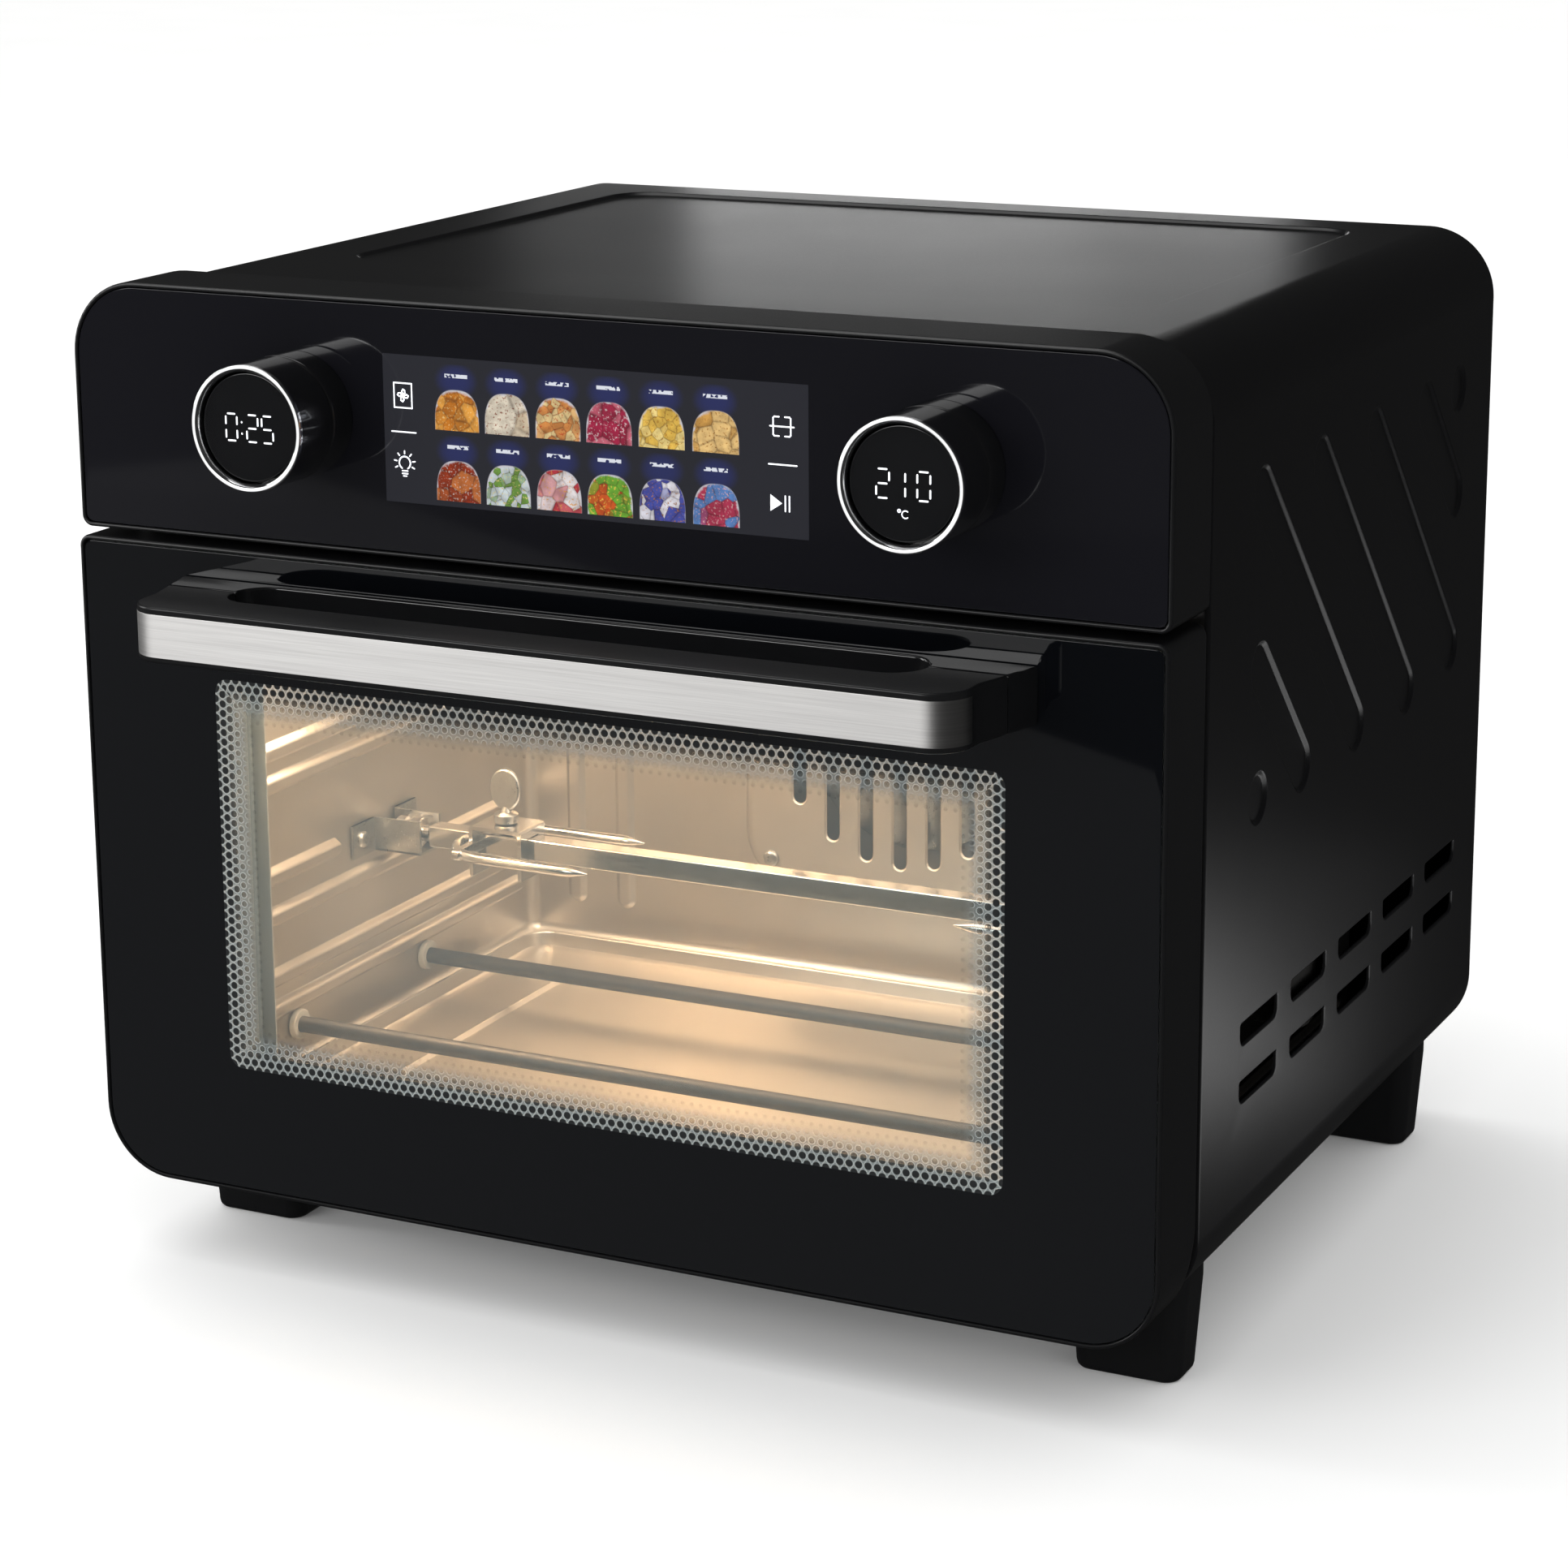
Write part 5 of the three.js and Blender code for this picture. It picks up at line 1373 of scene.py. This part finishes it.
cell_edge = w.node("TexVoronoi", {"feature": "DISTANCE_TO_EDGE"}, {"Vector": spot, "Scale": lumps})
reach = (abs(u - 0.5) ** 2.7 + (v.high(0.1) * 0.92 - 0.092) ** 2.7) ** 0.3704
inside = (u > -0.5) * (v > 0.01)
plate_mask = (1 - reach.ramp(0.47, 0.49)) * inside
heap = (1 - (reach + 0.14 * (wobble - 0.5) - 0.05 * cell_random).ramp(0.43, 0.475)) * plate_mask
body_colour = (cell_random.ramp(0.35, 0.65)).mix(food, second)
body_colour = (fine.ramp(0.56, 0.68) * 0.85).mix(body_colour, speck)
shade = cell_edge.ramp(0.0, 0.1, 0.3, 0.0) + wobble.ramp(0.3, 0.75, 0.4, 0.0)
shaded = shade.mix(body_colour, (0.03, 0.012, 0.01))
plate_colour = wobble.mix((0.42, 0.42, 0.48), (0.62, 0.6, 0.62))
lift = (v - 0.76) * (v - 0.76) * 11.0 + (u - 0.5) * (u - 0.5) * 3.6
ground = ((1 - lift.ramp(0.0, 0.95)) * inside).mix((0.021, 0.0215, 0.0265), (0.024, 0.029, 0.1))
caption = (abs(u - 0.5) < 0.25) * (abs(v - 0.83) < 0.028) * (u > -0.5)
caption = caption * (w.node("TexNoise", {},
                            {"Vector": spot, "Scale": 14.0, "Detail": 0.0}).ramp(0.38, 0.42))
picture = plate_mask.mix(ground, plate_colour)
picture = heap.mix(picture, shaded)
picture = (caption * 0.9).mix(picture, (0.75, 0.78, 0.85))
wear(lit, {"Base Color": picture.node("Mix", {"data_type": "RGBA"},
                                      {0: 0.85, 6: picture, 7: (0.004, 0.004, 0.005)}, out=2),
           "Emission Color": picture})
dress(display, lit, "base", "gloss_black")


def strokes(name, lines, r, y, thick=0.05 * MM, solid=()):
    """Flat marks with round ends, printed on a face: lines are lists of points joined by strokes."""
    shape = Shape()
    for line in lines:
        for (u0, v0), (u1, v1) in zip(line, line[1:]):
            ring = stadium(u0, v0, u1, v1, r, 4)
            shape.skin([at_depth(ring, y - thick), at_depth(ring, y + thick)])
    for ring in solid:
        shape.skin([at_depth(ring, y - thick), at_depth(ring, y + thick)])
    return build(name, shape, 20)


def arc(u, v, r, start, end, steps=12):
    return [(u + r * math.cos(math.radians(start + (end - start) * k / steps)),
             v + r * math.sin(math.radians(start + (end - start) * k / steps))) for k in range(steps + 1)]


mid_z = PANEL_LOW
x0, z0 = -0.0677, mid_z + 53.4 * MM
fan_lines = [[(x0 - 3.3 * MM, z0 - 4.0 * MM), (x0 + 3.3 * MM, z0 - 4.0 * MM),
              (x0 + 3.3 * MM, z0 + 4.0 * MM),
              (x0 - 3.3 * MM, z0 + 4.0 * MM), (x0 - 3.3 * MM, z0 - 4.0 * MM)]]
for k in range(4):
    a = 90 * k
    tip = [(0, 0.35), (0.75, 0.8), (0.7, 1.65), (0.1, 2.0), (-0.35, 1.4), (0, 0.35)]
    c, s = math.cos(math.radians(a)), math.sin(math.radians(a))
    fan_lines.append([(x0 + (u * c - v * s) * MM, z0 + (u * s + v * c) * MM) for u, v in tip])
fan_lines.append([(-0.0722, mid_z + 41.5 * MM), (-0.0632, mid_z + 41.5 * MM)])
z0 = mid_z + 30.8 * MM
fan_lines.append(arc(x0, z0 + 0.6 * MM, 2.1 * MM, -60, 240, 18))
for lift_z, wide in ((-2.0, 1.0), (-2.9, 1.0), (-3.7, 0.6)):
    fan_lines.append([(x0 - wide * MM, z0 + lift_z * MM), (x0 + wide * MM, z0 + lift_z * MM)])
for a in (-25, 10, 50, 90, 130, 170, 205):
    c, s = math.cos(math.radians(a)), math.sin(math.radians(a))
    fan_lines.append([(x0 + 3.0 * MM * c, z0 + (0.6 + 3.0 * s) * MM),
                      (x0 + 3.9 * MM * c, z0 + (0.6 + 3.9 * s) * MM)])
x0, z0 = 0.0678, mid_z + 53.2 * MM
for way in (-1, 1):
    fan_lines.append([(x0 + way * 1.0 * MM, z0 + 3.0 * MM), (x0 + way * 2.6 * MM, z0 + 3.0 * MM),
                      (x0 + way * 3.0 * MM, z0 + 2.6 * MM), (x0 + way * 3.0 * MM, z0 - 2.6 * MM),
                      (x0 + way * 2.6 * MM, z0 - 3.0 * MM), (x0 + way * 1.0 * MM, z0 - 3.0 * MM)])
fan_lines.append([(x0 - 4.1 * MM, z0), (x0 + 4.1 * MM, z0)])
fan_lines.append([(0.0632, mid_z + 41.3 * MM), (0.0728, mid_z + 41.3 * MM)])
x0, z0 = 0.0665, mid_z + 29.2 * MM
play = [(x0 - 2.8 * MM, z0 - 2.6 * MM), (x0 + 1.2 * MM, z0), (x0 - 2.8 * MM, z0 + 2.6 * MM)]
fan_lines += [[(x0 + d * MM, z0 - 2.4 * MM), (x0 + d * MM, z0 + 2.4 * MM)] for d in (2.3, 3.7)]
symbols = strokes("touch_symbols", fan_lines, 0.23 * MM, front_face, solid=[play])
white_light, w = finish("white lit print", {"Emission Strength": 0.95, "Roughness": 0.4})
soft = w.noise(90)
wear(white_light, {"Base Color": soft.mix((0.7, 0.72, 0.76), (0.8, 0.8, 0.82)),
                   "Emission Color": soft.mix((0.72, 0.76, 0.84), (0.9, 0.92, 0.96))})
dress(symbols, white_light, "base", "gloss_black")


# ---- Knobs ---------------------------------------------------------------------------------------
# Each knob is a fixed collar, a glossy sleeve that turns with its bright ring, and a glass readout
# that stands still in the ring. The readouts show seven-segment figures.
lacquer, w = finish("gloss black lacquer",
                    {"Specular IOR Level": 0.5, "Coat Roughness": 0.05, "Coat Weight": 0.4})
wear(lacquer, {
    "Base Color": w.noise(30).mix((0.0035, 0.0036, 0.004), (0.0055, 0.0056, 0.006)),
    "Roughness": 0.13 + 0.05 * w.noise(60, 3)})
polished, w = finish("polished chrome", {"Metallic": 1.0})
wear(polished, {
    "Base Color": w.noise(200).mix((0.78, 0.78, 0.79), (0.9, 0.9, 0.9)),
    "Roughness": 0.08 + 0.1 * w.noise(700, 3)})
readout_glass, w = finish("readout glass",
                          {"Specular IOR Level": 0.5, "Coat Weight": 0.6, "Coat Roughness": 0.03})
wear(readout_glass, {
    "Base Color": w.noise(40).mix((0.004, 0.0042, 0.0048), (0.006, 0.0062, 0.007)),
    "Roughness": 0.16 + 0.06 * w.noise(300)})

SEGMENTS = {"a": ((0.8, 8.7), (3.4, 8.7)), "b": ((4.2, 7.7), (4.2, 5.4)), "c": ((4.2, 3.3), (4.2, 1.0)),
            "d": ((0.8, 0), (3.4, 0)), "e": ((0, 3.3), (0, 1.0)), "f": ((0, 7.7), (0, 5.4)),
            "g": ((0.8, 4.35), (3.4, 4.35))}
FIGURES = {"0": "abcdef", "1": "bc", "2": "abged", "5": "afgcd"}
for label, reading in (("left", "0:25"), ("right", "210")):
    x, z = knob_spots[label]
    low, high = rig.box("knob_base_" + label)
    r, back = (high.x - low.x) / 2, high.y
    split, face = low.y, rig.box("knob_core_" + label)[0].y
    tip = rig.box("knob_ring_" + label)[0].y
    collar = around(f"knob_collar_{label}",
                    [(6.9 * MM, back), (r, back), (r, split + 1.0 * MM), (r - 0.12 * MM, split + 0.5 * MM),
                     (r - 0.45 * MM, split + 0.14 * MM), (r - 1.0 * MM, split), (6.9 * MM, split)],
                    96, (x, 0, z), "y", closed=True)
    dress(collar, lacquer, "base", "gloss_black", "knob_base_" + label)
    rear = split - 0.4 * MM
    sleeve = around(f"knob_barrel_{label}",
                    [(6.9 * MM, rear), (r - 0.9 * MM, rear), (r - 0.4 * MM, rear - 0.12 * MM),
                     (r - 0.1 * MM, rear - 0.45 * MM), (r, rear - 0.9 * MM), (r, tip + 2.0 * MM),
                     (18.3 * MM, tip + 2.0 * MM), (18.3 * MM, rear - 2 * MM), (6.9 * MM, rear - 2 * MM)],
                    96, (x, 0, z), "y", closed=True)
    dress(sleeve, lacquer, f"knob_{label}", "gloss_black", "knob_sleeve_" + label)
    ring = around(f"knob_bezel_{label}",
                  [(18.3 * MM, tip + 1.7 * MM), (18.35 * MM, tip + 1.2 * MM), (18.9 * MM, tip + 0.35 * MM),
                   (19.25 * MM, tip + 0.05 * MM), (19.5 * MM, tip), (r - 0.45 * MM, tip),
                   (r - 0.2 * MM, tip + 0.08 * MM),
                   (r - 0.05 * MM, tip + 0.28 * MM), (r, tip + 0.6 * MM), (r, tip + 1.7 * MM)],
                  96, (x, 0, z), "y", closed=True)
    dress(ring, polished, f"knob_{label}", "chrome_wire", "knob_ring_" + label)
    trims.objects.link(ring)
    core_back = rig.box("knob_core_" + label)[1].y
    core = around(f"knob_readout_{label}",
                  [(0.5 * MM, face), (17.2 * MM, face), (17.5 * MM, face + 0.1 * MM),
                   (17.7 * MM, face + 0.4 * MM),
                   (17.7 * MM, face + 6.4 * MM), (6.5 * MM, face + 6.4 * MM), (6.5 * MM, core_back),
                   (0.5 * MM, core_back)], 96, (x, 0, z), "y")
    dress(core, readout_glass, "base", "gloss_black", "knob_core_" + label)
    starts = {"0:25": [0, 5.4, 7.9, 13.6], "210": [0, 7.3, 13.3]}[reading]
    wide = starts[-1] + 4.2
    marks = []
    for figure, start in zip(reading, starts):
        left_edge, base_z = x + (start - wide / 2) * MM, z - 4.6 * MM
        if figure == ":":
            marks += [[(left_edge + 0.6 * MM, base_z + h * MM),
                       (left_edge + 0.6 * MM, base_z + (h + 0.15) * MM)]
                      for h in (2.4, 6.1)]
            continue
        shove = -4.2 if figure == "1" else 0
        for segment in FIGURES[figure]:
            (u0, v0), (u1, v1) = SEGMENTS[segment]
            marks.append([(left_edge + (u0 + shove * 0.5) * MM, base_z + v0 * MM),
                          (left_edge + (u1 + shove * 0.5) * MM, base_z + v1 * MM)])
    figures = strokes(f"figures_{label}", marks, 0.27 * MM, face)
    dress(figures, white_light, "base", "gloss_black")
    if label == "right":
        unit = strokes("degree_mark", [arc(x - 1.3 * MM, z - 8.1 * MM, 0.42 * MM, 0, 360, 10),
                                       arc(x + 0.75 * MM, z - 9.1 * MM, 1.15 * MM, 50, 310, 10)], 0.17 * MM,
                                       face)
        dress(unit, white_light, "base", "gloss_black")


# ---- Door ----------------------------------------------------------------------------------------
# A moulded black frame holds the outer glass, printed black but for a window edged with dots. A steel
# inner panel holds the second glass. The bottom rail is rounded behind to clear the oven as it drops.
low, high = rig.box("door_frame")
pin_y, pin_z = FRONT - 15.8 * MM, low.z + 11 * MM
heel = 13.6 * MM
D_LOW, D_TOP, D_FRONT, D_BACK = low.z, high.z, low.y, high.y


def door_line(d, y):
    lift = 0
    if y > pin_y + math.sqrt(heel ** 2 - (pin_z - D_LOW) ** 2):
        lift = pin_z - math.sqrt(max(heel ** 2 - (y - pin_y) ** 2, 0)) - D_LOW
    return at_depth(rounded(-HALF + d, D_LOW + d + lift, HALF - d, D_TOP - d, BEND - d,
                            max(4 * MM - d, 0.8 * MM), 14), y)


outer_low, outer_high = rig.box("door_outer_glass")
turn_y = pin_y + math.sqrt(heel ** 2 - (pin_z - D_LOW) ** 2)
rest = outer_high.y + 0.3 * MM
loops = [door_line(0.15 * MM, D_BACK), door_line(0, D_BACK - 0.3 * MM)]
loops += [door_line(0, D_BACK - 0.3 * MM - (D_BACK - 0.3 * MM - turn_y) * k / 6) for k in range(1, 7)]
loops += [door_line(d, y) for d, y in (
    (0, D_FRONT + 1.1 * MM), (0.12 * MM, D_FRONT + 0.5 * MM), (0.42 * MM, D_FRONT + 0.12 * MM),
    (0.85 * MM, D_FRONT), (1.2 * MM, D_FRONT + 0.06 * MM), (LIP, D_FRONT + 0.35 * MM), (LIP, rest),
    (5 * MM, rest))]
pane_low, pane_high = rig.box("door_inner_glass")
hole_line = lambda d: rounded(pane_low.x - 4.3 * MM + d, pane_low.z - 4.3 * MM + d,
                              pane_high.x + 4.3 * MM - d,
                              pane_high.z + 4.3 * MM - d, 7 * MM, 7 * MM, 14)
loops += [at_depth(hole_line(0), rest), at_depth(hole_line(0), rest + 3 * MM)]
inside = lambda y: at_depth(rounded(-HALF + 2.5 * MM, D_LOW + 18 * MM, HALF - 2.5 * MM, D_TOP - 2.5 * MM,
                                    9 * MM,
                                    2 * MM, 14), y)
loops += [inside(rest + 3 * MM), inside(D_BACK - 0.3 * MM)]
door = Shape()
door.skin(loops, closed=True)
door_skin = build("door_surround", door, 35)
for middle_x in (-0.150, 0.150):
    slot = Shape()
    slot.skin([[(x, y, z) for y, z in ((pin_y - 9 * MM, D_LOW - 1 * MM), (D_BACK + 1 * MM, D_LOW - 1 * MM),
                                       (D_BACK + 1 * MM, pin_z + 9 * MM), (pin_y - 9 * MM, pin_z + 9 * MM))]
               for x in (middle_x - 2.1 * MM, middle_x + 2.1 * MM)])
    punch_out(door_skin, slot, 35)
door_skin.modifiers.new("flats", "WEIGHTED_NORMAL").keep_sharp = True
settle(door_skin)
dress(door_skin, plastic, "door", "black_plastic", "door_frame")
edges.objects.link(door_skin)

# The print's inner edge is a band of dots in rows along each side of the window; a pale haze shows
# between them, and both fade towards the clear middle.
CLEAR_X, CLEAR_LOW, CLEAR_TOP, BAND = 0.1435, D_LOW + 45.5 * MM, D_LOW + 182.5 * MM, 12.6 * MM
printed, w = finish("printed window glass", {"Specular IOR Level": 0.5, "IOR": 1.5})
x, y, z = w.along()
mid_z = (CLEAR_LOW + CLEAR_TOP) / 2
corner = 5 * MM
dx = abs(x) - (CLEAR_X - corner)
dz = abs(z - mid_z) - ((CLEAR_TOP - CLEAR_LOW) / 2 - corner)
depth_in = corner - (dx.high(0.0) ** 2.0 + dz.high(0.0) ** 2.0).root() - dx.high(dz).low(0.0)
by_side = dx > dz
travel = x * (1 - by_side) + z * by_side
PITCH_ALONG, PITCH_IN = 3.3 * MM, 2.75 * MM
row = round(depth_in / PITCH_IN)
shifted = travel / PITCH_ALONG + row % 2.0 * 0.5
off_along = (shifted - round(shifted)) * PITCH_ALONG
off_in = depth_in - row * PITCH_IN
far_off = (off_along * off_along + off_in * off_in).root()
fade = depth_in.ramp(0.2 * BAND, 1.02 * BAND)
dot_r = 1.28 * MM - 0.55 * MM * fade
dots = 1 - (far_off - dot_r).ramp(-0.16 * MM, 0.16 * MM)
halo = 1 - abs(far_off - dot_r - 0.22 * MM).ramp(0.0, 0.26 * MM)
solid = 1 - depth_in.ramp(-0.12 * MM, 0.12 * MM)
in_band = 1 - depth_in.ramp(0.72 * BAND, 1.15 * BAND)
haze = 0.7 * in_band * (1 - 0.55 * fade) + 0.02
dot_cover = dots * (1 - 0.85 * fade) * (depth_in < BAND * 1.15)
cover = solid.high(dot_cover).high(haze.high(halo * in_band * 0.8))
tone = solid.high(dots * (0.95 - 0.35 * fade)).mix((0.17, 0.2, 0.205), (0.0018, 0.0021, 0.0028))
tone = (halo * in_band * (1 - solid) * (1 - dots)).mix(tone, (0.34, 0.37, 0.37))
glint = w.node("LayerWeight", {}, {"Blend": 0.28}, out=0)
cover = (cover + glint * 0.35).low(1.0)
wear(printed, {
    "Base Color": tone,
    "Roughness": 0.03 + 0.35 * (1 - solid) * in_band,
    "Normal": w.noise(7, 2).bump(0.0004, 0.06)})
tree = printed.node_tree
see = w.node("BsdfTransparent", {}, {"Color": (0.97, 0.985, 0.98)})
blend = w.node("MixShader", {}, {0: cover, 1: see, 2: Wire(tree, tree.nodes["Principled BSDF"].outputs[0])})
feed(tree, tree.nodes["Material Output"].inputs["Surface"], blend)

clear, w = finish("clear toughened glass", {"Specular IOR Level": 0.5, "Base Color": (0.75, 0.8, 0.8)})
wear(clear, {"Roughness": 0.02 + 0.04 * w.noise(12, 3)})
tree = clear.node_tree
see = w.node("BsdfTransparent", {}, {"Color": (0.97, 0.985, 0.98)})
glint = w.node("LayerWeight", {}, {"Blend": 0.3}, out=0)
blend = w.node("MixShader", {}, {0: 0.03 + glint * 0.5, 1: see,
                                 2: Wire(tree, tree.nodes["Principled BSDF"].outputs[0])})
feed(tree, tree.nodes["Material Output"].inputs["Surface"], blend)

front_pane = slab("door_glass_plate", "y", outer_low.y, outer_high.y,
                  lambda d: rounded(outer_low.x + d, outer_low.z + d, outer_high.x - d, outer_high.z - d,
                                    23.2 * MM - d, 3 * MM - d, 14), (), 0.35 * MM, 3)
dress(front_pane, printed, "door", "black_glass", "door_outer_glass")
panes.objects.link(front_pane)
front_pane.data.materials.append(clear)
for polygon in front_pane.data.polygons:
    polygon.material_index = 0 if polygon.normal.y < -0.3 else 1

back_pane = slab("door_inner_pane", "y", pane_low.y, pane_high.y,
                 lambda d: rounded(pane_low.x + d, pane_low.z + d, pane_high.x - d, pane_high.z - d,
                                   5.7 * MM - d),
                 (), 0.4 * MM, 3)
dress(back_pane, clear, "door", "clear_glass", "door_inner_glass")

low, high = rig.box("door_inner_panel")
sheet_low = D_BACK - 1.2 * MM
inner = Shape()
edge_line = lambda d, y: at_depth(rounded(low.x + d, low.z + d, high.x - d, high.z - d, 9 * MM - d * 0.5,
                                          2.4 * MM, 10), y)
well = lambda d, y: at_depth(rounded(pane_low.x - 0.3 * MM - d, pane_low.z - 0.3 * MM - d,
                                     pane_high.x + 0.3 * MM + d,
                                     pane_high.z + 0.3 * MM + d, 6 * MM + d, None, 10), y)
inner.skin([edge_line(0.3 * MM, sheet_low), edge_line(0, sheet_low + 0.3 * MM),
            edge_line(0, sheet_low + 0.7 * MM),
            edge_line(0.3 * MM, sheet_low + 1 * MM), well(12 * MM, sheet_low + 1 * MM),
            well(9 * MM, sheet_low + 0.9 * MM), well(7 * MM, sheet_low + 0.1 * MM),
            well(-2 * MM, sheet_low + 0.05 * MM),
            well(-4.4 * MM, sheet_low + 0.8 * MM), well(-5.3 * MM, sheet_low + 0.7 * MM),
            well(-5.3 * MM, sheet_low + 0.1 * MM), well(-4.4 * MM, sheet_low - 0.1 * MM),
            well(0, sheet_low - 0.3 * MM), well(0, low.y), well(1 * MM, low.y),
            well(1 * MM, sheet_low - 0.2 * MM),
            well(12 * MM, sheet_low)], closed=True)
inner_skin = build("door_inner_pressing", inner, 35)
matt, w = finish("matt aluminised steel", {"Metallic": 0.3, "Specular IOR Level": 0.4})
cloud = w.noise(18, 3)
wear(matt, {
    "Base Color": cloud.mix((0.56, 0.545, 0.51), (0.68, 0.66, 0.62)),
    "Roughness": 0.42 + 0.14 * cloud})
dress(inner_skin, matt, "door", "galvanised", "door_inner_panel")
spots = [(x, D_BACK - 0.3 * MM, z) for x in (-0.183, 0.183) for z in (low.z + 12 * MM, high.z - 12 * MM)]
spots += [(x, D_BACK - 0.3 * MM, low.z + 106 * MM) for x in (-0.183, 0.183)]
inner_screws = set_out.run("door_inner_screws", spots, part=screw_model, spin=6.3, seed=12,
                           direction=(-math.pi / 2, 0, 0), material=steel)
dress(inner_screws, steel, "door", "galvanised")


# ---- Handle --------------------------------------------------------------------------------------
# A black moulded bar with an oblong opening for the fingers, faced with a strip of brushed stainless
# steel bent round its two front corners. A glossy rear part is screwed to it through the door glass.
low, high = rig.box("handle_body")
base_low, base_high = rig.box("handle_base")
H_LOW, H_TOP, H_FRONT = low.z, high.z, low.y
SEAM, WALL_Y = base_low.y, base_high.y
TURN = 12 * MM
grip_half, grip_front, grip_back = 0.124, H_FRONT + 19 * MM, H_FRONT + 42 * MM
grip_r = (grip_back - grip_front) / 2


def side_x(y):
    """Half the bar's width: straight to just past the corner, then flaring slightly to the door."""
    begin = H_FRONT + TURN + 6 * MM
    return 0.147 + max(0, (y - begin) / (WALL_Y - begin)) * 7 * MM


def nose(d, end, steps=16):
    """The front outline from the left end, round both corners, to the right end, d inside."""
    r = TURN - d
    points = [(-side_x(end) + d, end),
              (-side_x(H_FRONT + TURN + 6 * MM) + d, min(end, H_FRONT + TURN + 6 * MM))]
    for cx, start in ((-0.147 + TURN, 180), (0.147 - TURN, 270)):
        for k in range(steps + 1):
            a = math.radians(start + 90 * k / steps)
            points.append((cx + r * math.cos(a), H_FRONT + TURN + r * math.sin(a)))
    return points + [(-x, y) for x, y in reversed(points[:2])]


def body_line(d):
    """The front bar's outline: round the nose, then back along the two sides of the opening."""
    seam = SEAM - 0.3 * MM - d
    outline = nose(d, seam)
    right = [(grip_half + d, seam)]
    for k in range(9):
        a = math.radians(90 * k / 8)
        if k:
            right.append((grip_half - grip_r + (grip_r + d) * math.cos(a),
                          grip_front + grip_r - (grip_r + d) * math.sin(a)))
    return outline + right + [(-x, y) for x, y in reversed(right)]


body = Shape()
rim = [(0.9 * MM * (1 - math.sin(math.radians(a))), 0.9 * MM * (1 - math.cos(math.radians(a))))
       for a in (0, 22.5, 45, 67.5, 90)]
strip_low, strip_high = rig.box("handle_trim")


def bar_rings(back, low_z, high_z):
    """Offset and height of each outline from the bar's underside to its top, all set back a little."""
    return [(d + back, low_z + t) for d, t in rim] + [(d + back, high_z - t) for d, t in reversed(rim)]


def flat_cap(shape, ids, outline):
    shape.faces += [tuple(ids[i] for i in t) for t in fill(outline, [])]


rings = [body.loop([(u, v, z) for u, v in body_line(d)]) for d, z in bar_rings(0.06 * MM, H_LOW, H_TOP)]
body.strips(rings)
flat_cap(body, rings[0], body_line(rim[0][0] + 0.06 * MM))
flat_cap(body, rings[-1], body_line(rim[0][0] + 0.06 * MM))
bar = build("handle_bar", body, 50)
dress(bar, plastic, "door", "black_plastic", "handle_body")


def base_line(d):
    """The rear part's outline: a bar along the door with an arm forward at each end."""
    seam, back = SEAM + d, WALL_Y - d
    ends = [(side_x(SEAM) - d, seam), (side_x(WALL_Y) - d, back)]
    right = [(grip_half + d, seam)]
    for k in range(9):
        a = math.radians(90 * k / 8)
        if k:
            right.append((grip_half - grip_r + (grip_r + d) * math.cos(a),
                          grip_back - grip_r + (grip_r + d) * math.sin(a)))
    return ends + [(-x, y) for x, y in reversed(ends)] + [(-x, y) for x, y in right] + list(reversed(right))


rear = Shape()
rings = [rear.loop([(u, v, z) for u, v in base_line(d)]) for d, z in bar_rings(0, base_low.z, base_high.z)]
rear.strips(rings)
flat_cap(rear, rings[0], base_line(rim[0][0]))
flat_cap(rear, rings[-1], base_line(rim[0][0]))
rear_bar = build("handle_rear", rear, 50)
dress(rear_bar, lacquer, "door", "black_plastic", "handle_base")

strip = Shape()
end_y = strip_high.y
thick, round_edge = 0.8 * MM, 0.25 * MM
section = [(0, strip_low.z + round_edge), (0.06 * MM, strip_low.z + 0.06 * MM),
           (0.3 * MM, strip_low.z), (thick, strip_low.z), (thick, strip_high.z), (0.3 * MM, strip_high.z),
           (0.06 * MM, strip_high.z - 0.06 * MM), (0, strip_high.z - round_edge)]
strip.skin([[(x, y, z) for x, y in nose(d, end_y, 20)] for d, z in section], closed=True, open_loops=True)
starts = [k * len(nose(0, end_y, 20)) for k in range(len(section))]
strip.faces += [tuple(starts), tuple(s + len(nose(0, end_y, 20)) - 1 for s in reversed(starts))]
trim = build("handle_strip", strip, 40)
brushed, w = finish("brushed stainless steel", {"Metallic": 1.0})
grain = w.noise(60, 4, (0.5, 0.5, 45))
long_grain = w.noise(14, 3, (0.6, 0.6, 60))
wear(brushed, {
    "Base Color": (0.6 * grain + 0.4 * long_grain).ramp(0.25, 0.75).mix((0.56, 0.55, 0.54),
                                                                        (0.72, 0.71, 0.695)),
    "Roughness": 0.38 + 0.1 * grain,
    "Normal": (grain + long_grain).bump(0.00005, 0.4)})
dress(trim, brushed, "door", "brushed", "handle_trim")
trims.objects.link(trim)
for label in ("left", "right"):
    frame["nodes"]["handle_screw_" + label].data.materials[0] = steel


# ---- Finished ------------------------------------------------------------------------------------
# The screw that was set out on the panels is a pattern, not a piece, and is put away.
bpy.data.objects.remove(screw_model)
size = {"cad": cad_size, "visual": [list(corner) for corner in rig.bounds()]}
json.dump(size, open("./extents.json", "w"))
